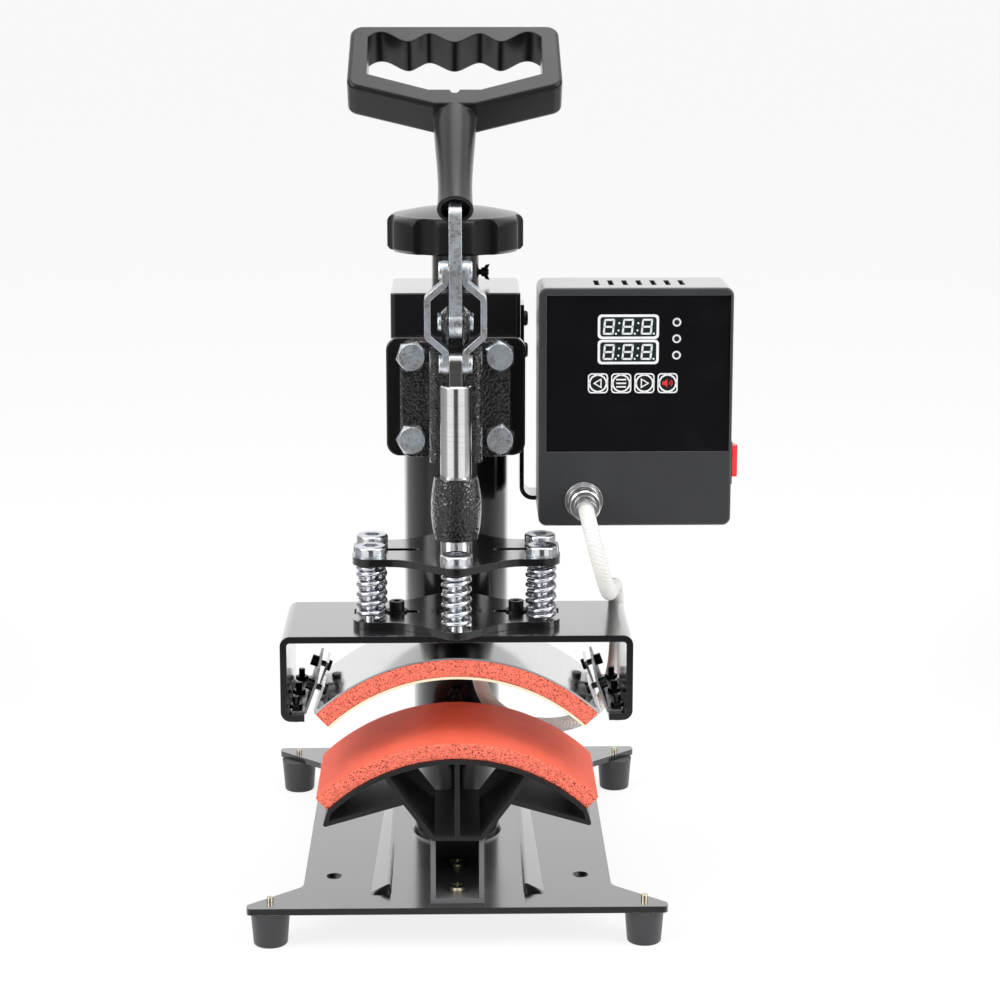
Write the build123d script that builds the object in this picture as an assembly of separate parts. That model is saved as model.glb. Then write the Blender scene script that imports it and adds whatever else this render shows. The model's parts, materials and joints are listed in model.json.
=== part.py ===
from build123d import *
from math import asin, cos, degrees, pi, radians, sin, sqrt, tan
import os

# A curved cap press: an arched heater comes down on an arched padded platen, worked by a push toggle
# on a swing-away head. All sizes are in millimetres. While it is built, X runs across, Y back and Z up,
# with X = Y = 0 on the plunger's axis and Z = 0 on the bench.

# Fits
run_gap = 0.05       # radial gap of a shaft that turns or slides in its bore
move_gap = 0.3       # gap between neighbours that move past each other

# Base plate and feet
sheet = 4.0
foot_height = 22.0
foot_top_radius = 12.0
foot_floor_radius = 10.25
foot_x = 112.5
foot_inset = 12.0
foot_screw_radius = 2.0
foot_head_radius = 4.0
foot_head_recess = 8.0
foot_head_height = 2.5
foot_screw_proud = 3.0
plate_half_width = 94.0
plate_front = -53.0
plate_rear = 250.0
ear_tip_x = 126.0
ear_tip_width = 7.0
ear_depth = 36.0
ear_tip_round = 3.0
ear_root_round = 9.0
rib_height = 5.0
rib_inner_x = 40.0
rib_front_width = 12.5
rib_rear_width = 8.0
rib_start = 26.0
rib_length = 165.0
bench_hole_x = 76.0
bench_hole_radius = 3.0
bench_sink_radius = 5.0

# Column
column_y = 84.0
post_radius = 27.3
post_collar = 1.6
post_wall = 3.0
post_top = 356.0
nut_plug_height = 18.0
stop_bolt_z = 125.0
stop_bolt_radius = 3.0
stop_bolt_reach = 13.0
stop_nut_radius = 5.8
stop_nut_height = 5.0

# Housing and height screw
sleeve_wall = 5.45
sleeve_bottom = 150.0
housing_half_width = 39.8
housing_wall = 4.0
housing_bottom = 290.0
housing_top = 382.0
housing_round = 3.0
sleeve_seat_gap = 0.2
bush_radius = 23.5
spindle_radius = 8.0
spindle_bottom = 330.0
boss_radius = 14.8
boss_height = 22.7
knob_radius = 42.4
knob_height = 27.0
knob_rim_height = 17.0
knob_rim_round = 6.0
knob_lobes = 7
flute_radius = 13.0
flute_depth = 4.0
knob_edge_round = 3.0
wing_z = 390.4
wing_core_radius = 1.8
wing_core_reach = 6.0
wing_span = 5.0
wing_thick = 2.2
wing_gap = 1.4

# Head plate and casting
head_plate_width = 85.0
head_plate_bottom = 282.5
head_plate_height = 73.5
head_plate_thick = 8.0
head_plate_round = 8.0
flange_width = 68.0
flange_height = 72.0
flange_thick = 8.0
flange_round = 7.0
head_bolt_pitch_x = 53.4
head_bolt_pitch_z = 51.2
head_bolt_rise = 1.2
head_bolt_radius = 5.0
head_bolt_flats = 17.0
head_bolt_head = 6.4
spine_half_width = 16.0
spine_front = 12.0
spine_drop = 4.0
spine_round = 5.0
guide_bottom = 240.0
guide_top = 278.0
guide_end_radius = 13.0
guide_mid_radius = 15.2
guide_web_half_width = 8.0

# Toggle
fork_z = 371.0
crank = 31.0
link_length = 56.0
crank_open = 5.0          # degrees forward of upright at rest
crank_closed = 109.0
lever_thick = 7.6
cheek_thick = 4.4
cheek_nose_radius = 9.4
cheek_bevel = 3.2         # lets the links fold past the nose
cheek_taper_height = 12.0
cheek_foot_thick = 0.9
fork_foot_z = 357.0
pin_radius = 4.0
fork_pin_radius = 5.0
pivot_head_radius = 5.6
pivot_head = 2.3
lever_eye_radius = 9.5
lever_bar_radius = 8.0
lever_bend_drop = 4.0
lean = 52.0               # degrees that the grip leans back at rest
lever_tang_in_grip = 30.0
link_thick = 3.7
link_width = 12.0
link_flare_x = 16.65
link_flare_low = 8.0
link_flare_rise = 9.4
link_flare_top = 49.2
link_bend_radius = 2.6
plunger_radius = 9.5
plunger_tang_top = 7.0
plunger_shoulder_drop = 12.6
plunger_bolt_radius = 5.0
plunger_bolt_reach = 16.0
plunger_bolt_head_radius = 8.5
plunger_bolt_head = 6.0

# Grip, measured up the lean from the ring at the neck's mouth
ring_z = 437.4
ring_y = 2.0
grip_thick = 24.0
neck_mouth_radius = 10.8
neck_top_half_width = 13.0
neck_length = 79.0
grip_half_width_top = 64.8
grip_half_width = 66.2
grip_top = 154.0
grip_side_foot = 98.0
grip_corner_round = 8.0
grip_edge_round = 2.6
window_half_width = 54.0
window_side_foot = 107.7
window_foot = 93.0
window_foot_half_width = 16.0
window_notch_radius = 3.0
valley_wall = 7.6
bulge_wall = 15.8
side_wall = 11.4
valleys_x = (42.0, 16.3)
bulge_x = 28.2
mouth_radius = 8.6
mouth_depth = 7.0

# Spring plates
spring_plate_thick = 4.5
lower_plate_z = 190.0
upper_plate_z = 228.5
lobe_radius = 11.0
side_lobe_x = 51.0
side_lobe_y = 14.6
end_lobe_y = 38.0
lobe_blend = 24.0
lobe_shoulder_x = 44.0
side_notch_x = 68.0
side_notch_radius = 9.0
plate_bore_radius = 15.0
slot_x = 34.0
slot_length = 22.0
slot_width = 6.0
spring_radius = 9.0
spring_wire = 3.0
spring_turns = 6
spring_bolt_radius = 4.5
spring_bolt_head_radius = 9.5
spring_bolt_head = 5.0
spring_bolt_round = 1.6
spring_bolt_socket = 3.0
washer_radius = 9.3
washer_thick = 1.2
plate_screw_radius = 2.9
plate_screw_head_radius = 4.6
plate_screw_head = 5.5
plate_washer_radius = 6.5

# Bracket and heater
bracket_half_width = 104.3
bracket_depth = 80.0
bracket_foot_z = 138.0
bracket_lip = 14.0
bracket_round = 6.0
heater_film_radius = 110.0
film_thick = 1.5
cushion_thick = 10.5
band_thick = 1.0
heater_centre_z = 54.0
heater_half_angle = 43.4
heater_front = -41.0
heater_depth = 80.0
clip_sheet = 1.5
clip_base = 11.0
clip_top_z = 161.0
clip_lean = 20.0          # degrees that the clip and the heater's tab lean in
tab_height = 16.5
tab_length = 22.0
clip_length = 74.0
clip_screw_pitch = 29.0
clip_screw_radius = 1.9
clip_head_radius = 3.9
clip_head = 2.4
clip_screw_proud = 7.0
tension_radius = 1.8
tension_head_radius = 3.4
tension_head = 4.0
tension_nut = 2.4
tension_pitch = 50.0
tension_share = 0.72      # height of the tension screws up the clip's flange
junction_width = 15.0
junction_depth = 11.0
junction_height = 14.0

# Platen and pad
pad_radius = 121.0
pad_thick = 10.0
pad_centre_z = 6.0
pad_half_angle = 44.0
pad_front = -48.5
pad_depth = 83.0
skin_thick = 2.5
platen_wall = 2.6
platen_rib = 3.0
platen_front = -50.0
platen_depth = 84.0
platen_tip_x = 79.5
platen_tip_z = 77.5
strut_corner_x = 31.4
strut_corner_z = 91.0
platen_foot_x = 14.4
channel_half_width = 16.0
channel_wall = 3.0
channel_height = 41.0
channel_front = -46.0
channel_depth = 72.0
floor_screw_radius = 3.0
floor_screw_head_radius = 5.5
floor_screw_head = 3.6
floor_screw_y = (-32.0, 8.0)

# Control box
box_left = 50.0
box_width = 117.0
box_bottom = 243.0
box_height = 146.0
box_front = 17.0
box_depth = 48.0
box_wall = 2.5
box_round = 5.0
panel_inset_left = 4.6
panel_inset_right = 1.7
panel_bottom = 289.0
panel_drop = 4.7          # from the top of the case to the top of its panel
panel_thick = 2.0
panel_recess = 1.0
window_width = 35.4
window_height = 13.5
window_inset = 36.0       # windows, rings and keys are placed from the box's left side and top
window_drops = (30.4, 45.7)
window_thick = 1.0
window_proud = 0.2
ring_inset = 82.8
ring_drops = (21.0, 31.0, 41.0)
ring_radius = 2.6
ring_wall = 0.8
key_count = 4
key_inset = 29.4
key_pitch = 14.0
key_width = 12.4
key_drop = 64.1
key_height = 12.4
key_round = 2.2
key_proud = 0.9
vent_count = 7
vent_first_x = 84.0
vent_pitch = 8.6
vent_width = 3.2
vent_length = 22.0
rocker_y = 36.0
rocker_z = 281.0
rocker_length = 24.0
rocker_height = 20.0
rocker_frame_rim = 1.6
rocker_frame_proud = 0.8
rocker_pivot_depth = 3.0
rocker_pin_radius = 1.8
rocker_pin_end = 1.2
rocker_reach = 6.6
rocker_dip = 1.0
rocker_tilt = 10.0
inlet_from_right = 21.0
inlet_z = 262.0
inlet_width = 27.5
inlet_height = 20.0
inlet_proud = 2.0
inlet_pocket = 12.0
socket_x = 77.5
socket_z = 259.0
socket_radius = 10.3
socket_reach = 8.0
plug_ring_radius = 9.6
plug_ring = 9.0
plug_tail_radius = 6.6
strap_thick = 2.7
strap_front = 66.5
strap_depth = 24.0
strap_top = 372.0
strap_foot = 248.5
strap_bend = 7.0
strap_reach = 127.0
strap_flange_height = 38.0
strap_screw_offsets = (-40.0, -5.0)
cover_screw_inset = 9.0
side_screw_heights = (362.0, 342.0)
side_screw_radius = 2.6
side_screw_head_radius = 4.8
side_screw_head = 2.7

# Heater cable: a route chosen by hand, from the plug to the junction behind the heater
cable_diameter = 9.3
cable_bend_share = 0.45
cable_route = [
    (77.5, -14.0, 259.0), (77.5, -31.5, 259.0), (81.0, -45.0, 245.5), (86.0, -45.0, 226.5),
    (90.0, -31.5, 213.0), (93.0, -8.0, 209.0), (96.0, 17.0, 206.0), (98.5, 39.0, 200.0),
    (100.5, 53.0, 185.0), (101.5, 58.5, 163.0), (100.0, 59.0, 139.0), (92.5, 58.0, 118.0),
    (76.0, 56.5, 106.0), (54.0, 54.5, 104.0), (33.0, 51.5, 110.0), (18.5, 48.0, 123.5),
    (13.0, 44.5, 141.5), (13.0, 44.5, 160.0),
]

# Places that follow from the sizes above
plate_top = foot_height + sheet
sleeve_radius = post_radius + run_gap + sleeve_wall
housing_cavity = 2 * (sleeve_radius + sleeve_seat_gap)
housing_front = column_y - housing_cavity / 2 - housing_wall
housing_rear = column_y + housing_cavity / 2 + housing_wall
housing_ceiling = housing_top - housing_wall
flange_back = housing_front - head_plate_thick
flange_front = flange_back - flange_thick
head_plate_mid_z = head_plate_bottom + head_plate_height / 2
upper_plate_top = upper_plate_z + spring_plate_thick
lower_plate_top = lower_plate_z + spring_plate_thick
slot_half = lever_thick / 2 + move_gap
cheek_outer = slot_half + cheek_thick
link_in_x = slot_half + link_thick / 2
link_out_x = slot_half + link_thick
crank_pin_y = -crank * sin(radians(crank_open))
crank_pin_z = fork_z + crank * cos(radians(crank_open))
band_radius = heater_film_radius + film_thick + cushion_thick + band_thick
skin_radius = pad_radius - pad_thick
platen_foot_z = plate_top + channel_height
lever_bend_z = ring_z - lever_bend_drop
box_right = box_left + box_width
box_top = box_bottom + box_height
panel_top = box_top - panel_drop
box_rear = box_front + box_depth
panel_left = box_left + panel_inset_left
panel_right = box_right - panel_inset_right
panel_face = box_front + panel_recess
inlet_x = box_right - inlet_from_right
window_left = box_left + window_inset
window_bottoms = [box_top - drop for drop in window_drops]
ring_x = box_left + ring_inset
ring_heights = [box_top - drop for drop in ring_drops]
key_lefts = [box_left + key_inset + key_pitch * i for i in range(key_count)]
key_bottom = box_top - key_drop
lean_sin, lean_cos = sin(radians(lean)), cos(radians(lean))


def rod_pin_z(crank_angle):
    """Height of the plunger's pivot when the crank stands crank_angle degrees forward of upright."""
    y = crank * sin(radians(crank_angle))
    z = fork_z + crank * cos(radians(crank_angle))
    return z - sqrt(link_length**2 - y**2)


link_foot_z = rod_pin_z(crank_open)
plunger_stroke = link_foot_z - rod_pin_z(crank_closed)
shoulder_z = link_foot_z - plunger_shoulder_drop


def block(x0, x1, y0, y1, z0, z1):
    centre = Pos((x0 + x1) / 2, (y0 + y1) / 2, (z0 + z1) / 2)
    return centre * Box(abs(x1 - x0), abs(y1 - y0), abs(z1 - z0))


def upright(x, y, z0, z1, radius):
    return Pos(x, y, (z0 + z1) / 2) * Cylinder(radius, z1 - z0)


def crosswise(x0, x1, y, z, radius):
    return Pos((x0 + x1) / 2, y, z) * Rot(0, 90, 0) * Cylinder(radius, x1 - x0)


def lengthwise(x, z, y0, y1, radius):
    return Pos(x, (y0 + y1) / 2, z) * Rot(90, 0, 0) * Cylinder(radius, y1 - y0)


def front_view(sketch, y0, y1):
    """A sketch drawn in X and Z, carried from y0 back to y1."""
    return extrude(Plane.XZ.offset(-y1) * sketch, y1 - y0)


def side_view(sketch, x0, x1):
    """A sketch drawn in Y and Z, carried from x0 to x1."""
    return extrude(Plane.YZ.offset(x0) * sketch, x1 - x0)


def plan_view(sketch, z0, z1):
    return extrude(Plane.XY.offset(z0) * sketch, z1 - z0)


def outline(*points):
    return make_face(Polyline(*points, close=True))


def arch(inner, outer, half_angle, centre_z):
    """An arched band about a centre on X = 0, between two radii, half_angle degrees each side."""
    s, c = sin(radians(half_angle)), cos(radians(half_angle))
    edges = [
        ThreePointArc((-outer * s, outer * c), (0, outer), (outer * s, outer * c)),
        Line((outer * s, outer * c), (inner * s, inner * c)),
        ThreePointArc((inner * s, inner * c), (0, inner), (-inner * s, inner * c)),
        Line((-inner * s, inner * c), (-outer * s, outer * c)),
    ]
    return Pos(0, centre_z) * make_face(edges)


def wall(start, end, thick):
    """A straight wall of an extruded profile, with round ends."""
    run = Vector(*end) - Vector(*start)
    middle = (Vector(*start) + Vector(*end)) / 2
    turn = degrees(Vector(1, 0, 0).get_signed_angle(run, Vector(0, 0, 1)) * pi / 180)
    return Pos(middle.X, middle.Y) * Rot(0, 0, turn) * SlotOverall(run.length + thick, thick)


def mirrored(shape):
    return [shape, mirror(shape, Plane.YZ)]


def group(shapes):
    return Compound([solid for shape in shapes for solid in shape.solids()])


def make_base_plate():
    mid = (plate_front + plate_rear) / 2
    half = (plate_rear - plate_front) / 2
    right = [
        (ear_tip_x, half), (ear_tip_x, half - ear_tip_width), (plate_half_width, half - ear_depth),
        (plate_half_width, ear_depth - half), (ear_tip_x, ear_tip_width - half), (ear_tip_x, -half),
    ]
    left = [(-x, y) for x, y in reversed(right)]
    shape = Pos(0, mid) * outline(*right, *left)
    roots = shape.vertices().filter_by(lambda v: abs(abs(v.X) - plate_half_width) < 0.01)
    shape = fillet(roots, ear_root_round)
    tips = shape.vertices().filter_by(lambda v: abs(abs(v.X) - ear_tip_x) < 0.01)
    shape = fillet(tips, ear_tip_round)
    plate = plan_view(shape, foot_height, plate_top)
    for side in (1, -1):
        rib = rib_form(side)
        plate = plate + rib - Pos(0, 0, -sheet) * rib
    for side in (1, -1):
        plate -= upright(side * bench_hole_x, 0, foot_height - 1, plate_top + 1, bench_hole_radius)
        sink = Cone(bench_hole_radius, bench_sink_radius, sheet / 2)
        plate -= Pos(side * bench_hole_x, 0, plate_top - sheet / 4) * sink
        for y in (plate_front + foot_inset, plate_rear - foot_inset):
            plate -= upright(side * foot_x, y, foot_height - 1, plate_top + 1, foot_screw_radius)
    return plate


def rib_form(side):
    """A pressed rib with a steep inner edge, wide at the front and narrow towards the column."""
    start = plate_front + rib_start
    ends = ((start - rib_height, rib_front_width, 0.02), (start, rib_front_width, 1.0),
            (start + rib_length, rib_rear_width, 0.8),
            (start + rib_length + rib_height, rib_rear_width, 0.02))
    faces = []
    for y, width, share in ends:
        z = plate_top + rib_height * share
        x = side * rib_inner_x
        profile = outline((x, foot_height + sheet / 2), (x + side * 0.8, z), (x + side * 2.4, z),
                          (x + side * width, plate_top), (x + side * width, foot_height + sheet / 2))
        faces.append(Plane.XZ.offset(-y) * profile)
    return loft(faces, ruled=True)


def foot_places():
    rows = (plate_front + foot_inset, plate_rear - foot_inset)
    return [(side * foot_x, y) for side in (1, -1) for y in rows]


def make_feet():
    feet = []
    for x, y in foot_places():
        foot = Pos(x, y, foot_height / 2) * Cone(foot_floor_radius, foot_top_radius, foot_height)
        foot = fillet(foot.edges().sort_by(Axis.Z)[0], 1.2)
        foot -= upright(x, y, -1, foot_head_recess, foot_head_radius + 1)
        foot -= upright(x, y, 0, foot_height + 1, foot_screw_radius)
        feet.append(foot)
    return group(feet)


def make_foot_screws():
    screws = []
    for x, y in foot_places():
        head_z = foot_head_recess - foot_head_height
        screw = upright(x, y, foot_head_recess, plate_top + foot_screw_proud, foot_screw_radius)
        screws.append(screw + upright(x, y, head_z, foot_head_recess, foot_head_radius))
    return group(screws)


def make_post():
    post = upright(0, column_y, plate_top, post_top, post_radius)
    weld = Cone(post_radius + post_collar, post_radius, 2 * post_collar)
    post += Pos(0, column_y, plate_top + post_collar) * weld
    post -= upright(0, column_y, plate_top, post_top, post_radius - post_wall)
    front = column_y - post_radius
    post -= lengthwise(0, stop_bolt_z, front - 1, front + post_wall + 2, stop_bolt_radius)
    return post


def hex_head(x, y, z, radius, height):
    return Pos(x, y, z) * extrude(RegularPolygon(radius, 6), height)


def make_stop_bolt():
    front = column_y - post_radius
    bolt = lengthwise(0, stop_bolt_z, front - stop_bolt_reach, front + post_wall, stop_bolt_radius)
    nut = Plane.XZ.offset(-front + 0.6) * (Pos(0, stop_bolt_z) * RegularPolygon(stop_nut_radius, 6))
    return bolt + extrude(nut, stop_nut_height)


def make_nut_plug():
    plug = upright(0, column_y, post_top - nut_plug_height, post_top, post_radius - post_wall)
    return plug - upright(0, column_y, post_top - nut_plug_height, post_top, spindle_radius + run_gap)


def make_thrust_bush():
    bush = upright(0, column_y, post_top, housing_ceiling, bush_radius)
    return bush - upright(0, column_y, post_top, housing_ceiling, spindle_radius + run_gap)


def make_sleeve():
    sleeve = upright(0, column_y, sleeve_bottom, housing_ceiling, sleeve_radius)
    sleeve = chamfer(sleeve.edges().sort_by(Axis.Z)[0], 1)
    return sleeve - upright(0, column_y, sleeve_bottom, housing_ceiling, post_radius + run_gap)


def make_housing():
    depth = housing_rear - housing_front
    shape = Pos(0, column_y) * RectangleRounded(2 * housing_half_width, depth, housing_round)
    body = plan_view(shape, housing_bottom, housing_top)
    body = fillet(body.edges().group_by(Axis.Z)[-1], 1.2)
    inner_x = housing_half_width - housing_wall
    half = housing_cavity / 2
    floor = housing_bottom + housing_wall
    body -= block(-inner_x, inner_x, column_y - half, column_y + half, floor, housing_ceiling)
    body -= upright(0, column_y, housing_bottom - 1, floor + 1, sleeve_radius)
    body -= upright(0, column_y, housing_ceiling - 1, housing_top + 1, spindle_radius + run_gap)
    for z in side_screw_heights:
        body -= crosswise(inner_x - 1, housing_half_width + 1, strap_mid_y(), z, side_screw_radius)
    return body


def strap_mid_y():
    return strap_front + strap_depth / 2


def make_boss():
    boss = upright(0, column_y, housing_top, housing_top + boss_height, boss_radius)
    boss = chamfer(boss.edges().sort_by(Axis.Z)[-1], 1)
    boss -= upright(0, column_y, housing_top, housing_top + boss_height, spindle_radius + run_gap)
    return boss - crosswise(0, boss_radius + 1, column_y, wing_z, wing_core_radius + run_gap)


def make_spindle():
    spindle = upright(0, column_y, spindle_bottom, knob_floor() + knob_rim_height, spindle_radius)
    return chamfer(spindle.edges().sort_by(Axis.Z)[0], 1)


def knob_floor():
    return housing_top + boss_height + move_gap


def make_knob():
    low, rim, top = 0, knob_rim_height, knob_height
    edge_x, edge_z = knob_radius - knob_rim_round, rim + knob_rim_round - 0.6
    dome = (edge_x**2 + (top - edge_z)**2) / (2 * (top - edge_z))
    mid_dome = (edge_x / 2, top - dome + sqrt(dome**2 - edge_x**2 / 4))
    profile = make_face([
        Line((0, low), (knob_radius - 2, low)),
        Line((knob_radius - 2, low), (knob_radius, low + 2)),
        Line((knob_radius, low + 2), (knob_radius, rim)),
        ThreePointArc((knob_radius, rim), (knob_radius - 1.8, rim + 3.8), (edge_x, edge_z)),
        ThreePointArc((edge_x, edge_z), mid_dome, (0, top)),
        Line((0, top), (0, low)),
    ])
    knob = Rot(0, 0, 270) * revolve(Plane.XZ * profile, Axis.Z)
    flute_at = knob_radius + flute_radius - flute_depth
    plan = Rot(0, 0, 270) * Circle(knob_radius)
    for i in range(knob_lobes):
        angle = 270 + 360 / knob_lobes * (i + 0.5)
        plan -= Rot(0, 0, angle) * Pos(flute_at, 0) * Circle(flute_radius)
    knob &= plan_view(fillet(plan.vertices(), knob_edge_round), -1, top + 1)
    hollow = Cylinder(knob_radius - 12, 6) - Cylinder(boss_radius, 8)
    knob -= Pos(0, 0, 3) * hollow
    return Pos(0, column_y, knob_floor()) * (knob - upright(0, 0, 0, rim, spindle_radius))


def make_wing_core():
    start = spindle_radius + 1.2
    end = boss_radius + wing_core_reach
    return crosswise(start, end, column_y, wing_z, wing_core_radius)


def make_wings():
    start = boss_radius + wing_gap
    end = boss_radius + wing_core_reach - 0.6
    hub = crosswise(start, end, column_y, wing_z, wing_core_radius + 1.1)
    ear = outline((start + 0.6, 1), (end - 0.4, 1), (end + 1.2, wing_span), (start + 2.6, wing_span - 0.6))
    ears = Plane.XZ.offset(-wing_thick / 2) * (ear + mirror(ear, Plane.XZ))
    wings = hub + Pos(0, column_y, wing_z) * extrude(ears, wing_thick)
    return wings - crosswise(start - 1, end + 1, column_y, wing_z, wing_core_radius)


def make_head_plate():
    shape = Pos(0, head_plate_mid_z) * RectangleRounded(head_plate_width, head_plate_height, head_plate_round)
    plate = front_view(shape, flange_back, housing_front)
    plate = fillet(plate.edges().group_by(Axis.Y)[0], 1.2)
    for x, z in head_bolt_places():
        plate -= lengthwise(x, z, flange_back - 1, housing_front + 1, head_bolt_radius)
    return plate


def head_bolt_places():
    pitch_x, pitch_z = head_bolt_pitch_x / 2, head_bolt_pitch_z / 2
    mid_z = head_plate_mid_z + head_bolt_rise
    return [(x, mid_z + z) for x in (-pitch_x, pitch_x) for z in (-pitch_z, pitch_z)]


def make_head_bolts():
    bolts = []
    for i, (x, z) in enumerate(head_bolt_places()):
        shank = lengthwise(x, z, flange_front, housing_front, head_bolt_radius)
        hexagon = Rot(0, 0, 11 * i) * RegularPolygon(head_bolt_flats / 2, 6, major_radius=False)
        head = extrude(Plane.XZ.offset(-flange_front) * (Pos(x, z) * hexagon), head_bolt_head)
        crown = Cone(head_bolt_flats / 2 + 3.2, head_bolt_flats / 2 - 0.6, head_bolt_head)
        crown = Pos(x, flange_front - head_bolt_head / 2, z) * Rot(90, 0, 0) * crown
        bolts.append(shank + (head & crown))
    return group(bolts)


def make_casting():
    """Bolted flange, spine, two-cheeked fork for the lever and barrel guide for the plunger."""
    mid, top = head_plate_mid_z, head_plate_mid_z + flange_height / 2
    foot = mid - flange_height / 2
    shape = Pos(0, mid) * RectangleRounded(flange_width, flange_height, flange_round)
    flange = front_view(shape, flange_front, flange_back)
    flange = fillet(flange.edges().group_by(Axis.Y)[0], 2)
    spine = block(-spine_half_width, spine_half_width, spine_front, flange_back, foot, top - spine_drop)
    spine = fillet(spine.edges().filter_by(Axis.Z).group_by(Axis.Y)[0], spine_round)
    body = flange + spine + make_fork(top) + make_guide(foot)
    body -= upright(0, 0, guide_bottom - 1, foot + 20, plunger_radius + run_gap)
    for x, z in head_bolt_places():
        body -= lengthwise(x, z, flange_front - 1, flange_back + 1, head_bolt_radius)
    return body


def make_fork(top):
    """Two cheeks about the fork pivot, tapered below it, on a gusset that runs back to the spine."""
    nose = Pos(0, fork_z) * Circle(cheek_nose_radius)
    back = spine_front + 10
    low = top - spine_drop - 20
    hull = make_hull((nose + Pos(back, (top + low) / 2) * Rectangle(1, top - low)).edges())
    cheeks = side_view(hull, -cheek_outer, cheek_outer)
    cheeks = chamfer(cheeks.edges().filter_by(GeomType.CIRCLE), cheek_bevel)
    shoulder = fork_foot_z + cheek_taper_height
    foot_x = slot_half + cheek_foot_thick
    ridge = fork_z + cheek_nose_radius + 1
    taper = outline((-foot_x, fork_foot_z), (foot_x, fork_foot_z), (cheek_outer, shoulder),
                    (cheek_outer, ridge), (-cheek_outer, ridge), (-cheek_outer, shoulder))
    ahead = front_view(taper, -cheek_nose_radius - 1, spine_front)
    behind = block(-cheek_outer, cheek_outer, spine_front, back + 1, low - 1, ridge)
    cheeks = cheeks & (ahead + behind)
    cheeks -= block(-slot_half, slot_half, -cheek_nose_radius - 1, spine_front, fork_foot_z - 1, ridge + 1)
    lever_sweep = crosswise(-slot_half, slot_half, 0, fork_z, spine_front + 2)
    return cheeks - lever_sweep - crosswise(-cheek_outer, cheek_outer, 0, fork_z, fork_pin_radius)


def make_guide(foot):
    middle = (guide_bottom + guide_top) / 2
    profile = make_face([
        Line((0, guide_bottom), (guide_end_radius, guide_bottom)),
        ThreePointArc((guide_end_radius, guide_bottom), (guide_mid_radius, middle),
                      (guide_end_radius, guide_top)),
        Line((guide_end_radius, guide_top), (0, guide_top)),
        Line((0, guide_top), (0, guide_bottom)),
    ])
    barrel = revolve(Plane.XZ * profile, Axis.Z)
    inside = guide_end_radius - 4
    web = outline((inside, guide_bottom + 5), (spine_front + 4, guide_bottom + 12), (flange_back - 3, foot),
                  (flange_back - 3, foot + 12), (spine_front, foot + 12), (inside, guide_top - 3))
    return barrel + side_view(web, -guide_web_half_width, guide_web_half_width)


def make_fork_bolt():
    bolt = crosswise(-cheek_outer, cheek_outer, 0, fork_z, fork_pin_radius)
    for side in (1, -1):
        bolt += pivot_head_at(side, 0, fork_z)
    return bolt


def pivot_head_at(side, y, z):
    """A low round pivot head that lies against a cheek or link."""
    cap = crosswise(cheek_outer, cheek_outer + pivot_head, y, z, pivot_head_radius)
    cap = fillet(cap.edges().sort_by(Axis.X)[-1], 1)
    return cap if side > 0 else mirror(cap, Plane.YZ)


def bar_shape(start, end, radius):
    run = Vector(*end) - Vector(*start)
    return Pos(*start) * Rot(0, 0, Vector(1, 0, 0).get_signed_angle(run, Vector(0, 0, 1))) * (
        Pos(run.length / 2, 0) * SlotCenterToCenter(run.length, 2 * radius))


def make_lever_bar():
    bend = (ring_y, lever_bend_z)
    tail = (ring_y + lean_sin * lever_tang_in_grip, lever_bend_z + lean_cos * lever_tang_in_grip)
    pin = (crank_pin_y, crank_pin_z)
    shape = Pos(0, fork_z) * Circle(lever_eye_radius)
    shape += bar_shape((0, fork_z), pin, lever_bar_radius)
    shape += bar_shape(pin, bend, lever_bar_radius)
    shape += bar_shape(bend, tail, lever_bar_radius)
    bar = side_view(shape, -lever_thick / 2, lever_thick / 2)
    bar -= crosswise(-lever_thick, lever_thick, 0, fork_z, fork_pin_radius + run_gap)
    return bar - crosswise(-lever_thick, lever_thick, *pin, pin_radius)


def make_lever_stub():
    return crosswise(-lever_thick / 2, lever_thick / 2, crank_pin_y, crank_pin_z, pin_radius)


def grip_plane():
    return Plane(origin=(0, ring_y, ring_z), x_dir=(1, 0, 0), z_dir=(0, -lean_cos, lean_sin))


def make_grip():
    right = [(grip_half_width_top, grip_top), (grip_half_width, grip_side_foot),
             (neck_top_half_width, neck_length)]
    left = [(-x, y) for x, y in reversed(right)]
    shape = outline(*right, *left)
    corners = shape.vertices().filter_by(lambda v: abs(v.X) > grip_half_width_top - 1)
    shape = fillet(corners, grip_corner_round)
    body = extrude(grip_plane() * shape, grip_thick / 2, both=True)
    body = fillet(body.edges().filter_by(lambda e: on_grip_face(e)), grip_edge_round)
    body -= extrude(grip_plane() * window_shape(), grip_thick, both=True)
    body += make_neck()
    mouth = Plane(origin=(0, ring_y, ring_z), x_dir=(1, 0, 0), z_dir=(0, lean_sin, lean_cos))
    body -= extrude(mouth * Circle(mouth_radius), mouth_depth)
    return body - make_lever_bar() - make_lever_clear()


def on_grip_face(edge):
    """True for the edges of the grip's front and back faces."""
    local = grip_plane().to_local_coords(edge.center())
    return abs(abs(local.Z) - grip_thick / 2) < 0.01


def make_lever_clear():
    """Room in the neck's mouth for the bend of the lever bar."""
    mouth = Plane(origin=(0, ring_y, ring_z), x_dir=(1, 0, 0), z_dir=(0, -lean_sin, -lean_cos))
    return extrude(mouth * Rectangle(lever_thick, 2 * lever_bar_radius), 2 * lever_bar_radius)


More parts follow.
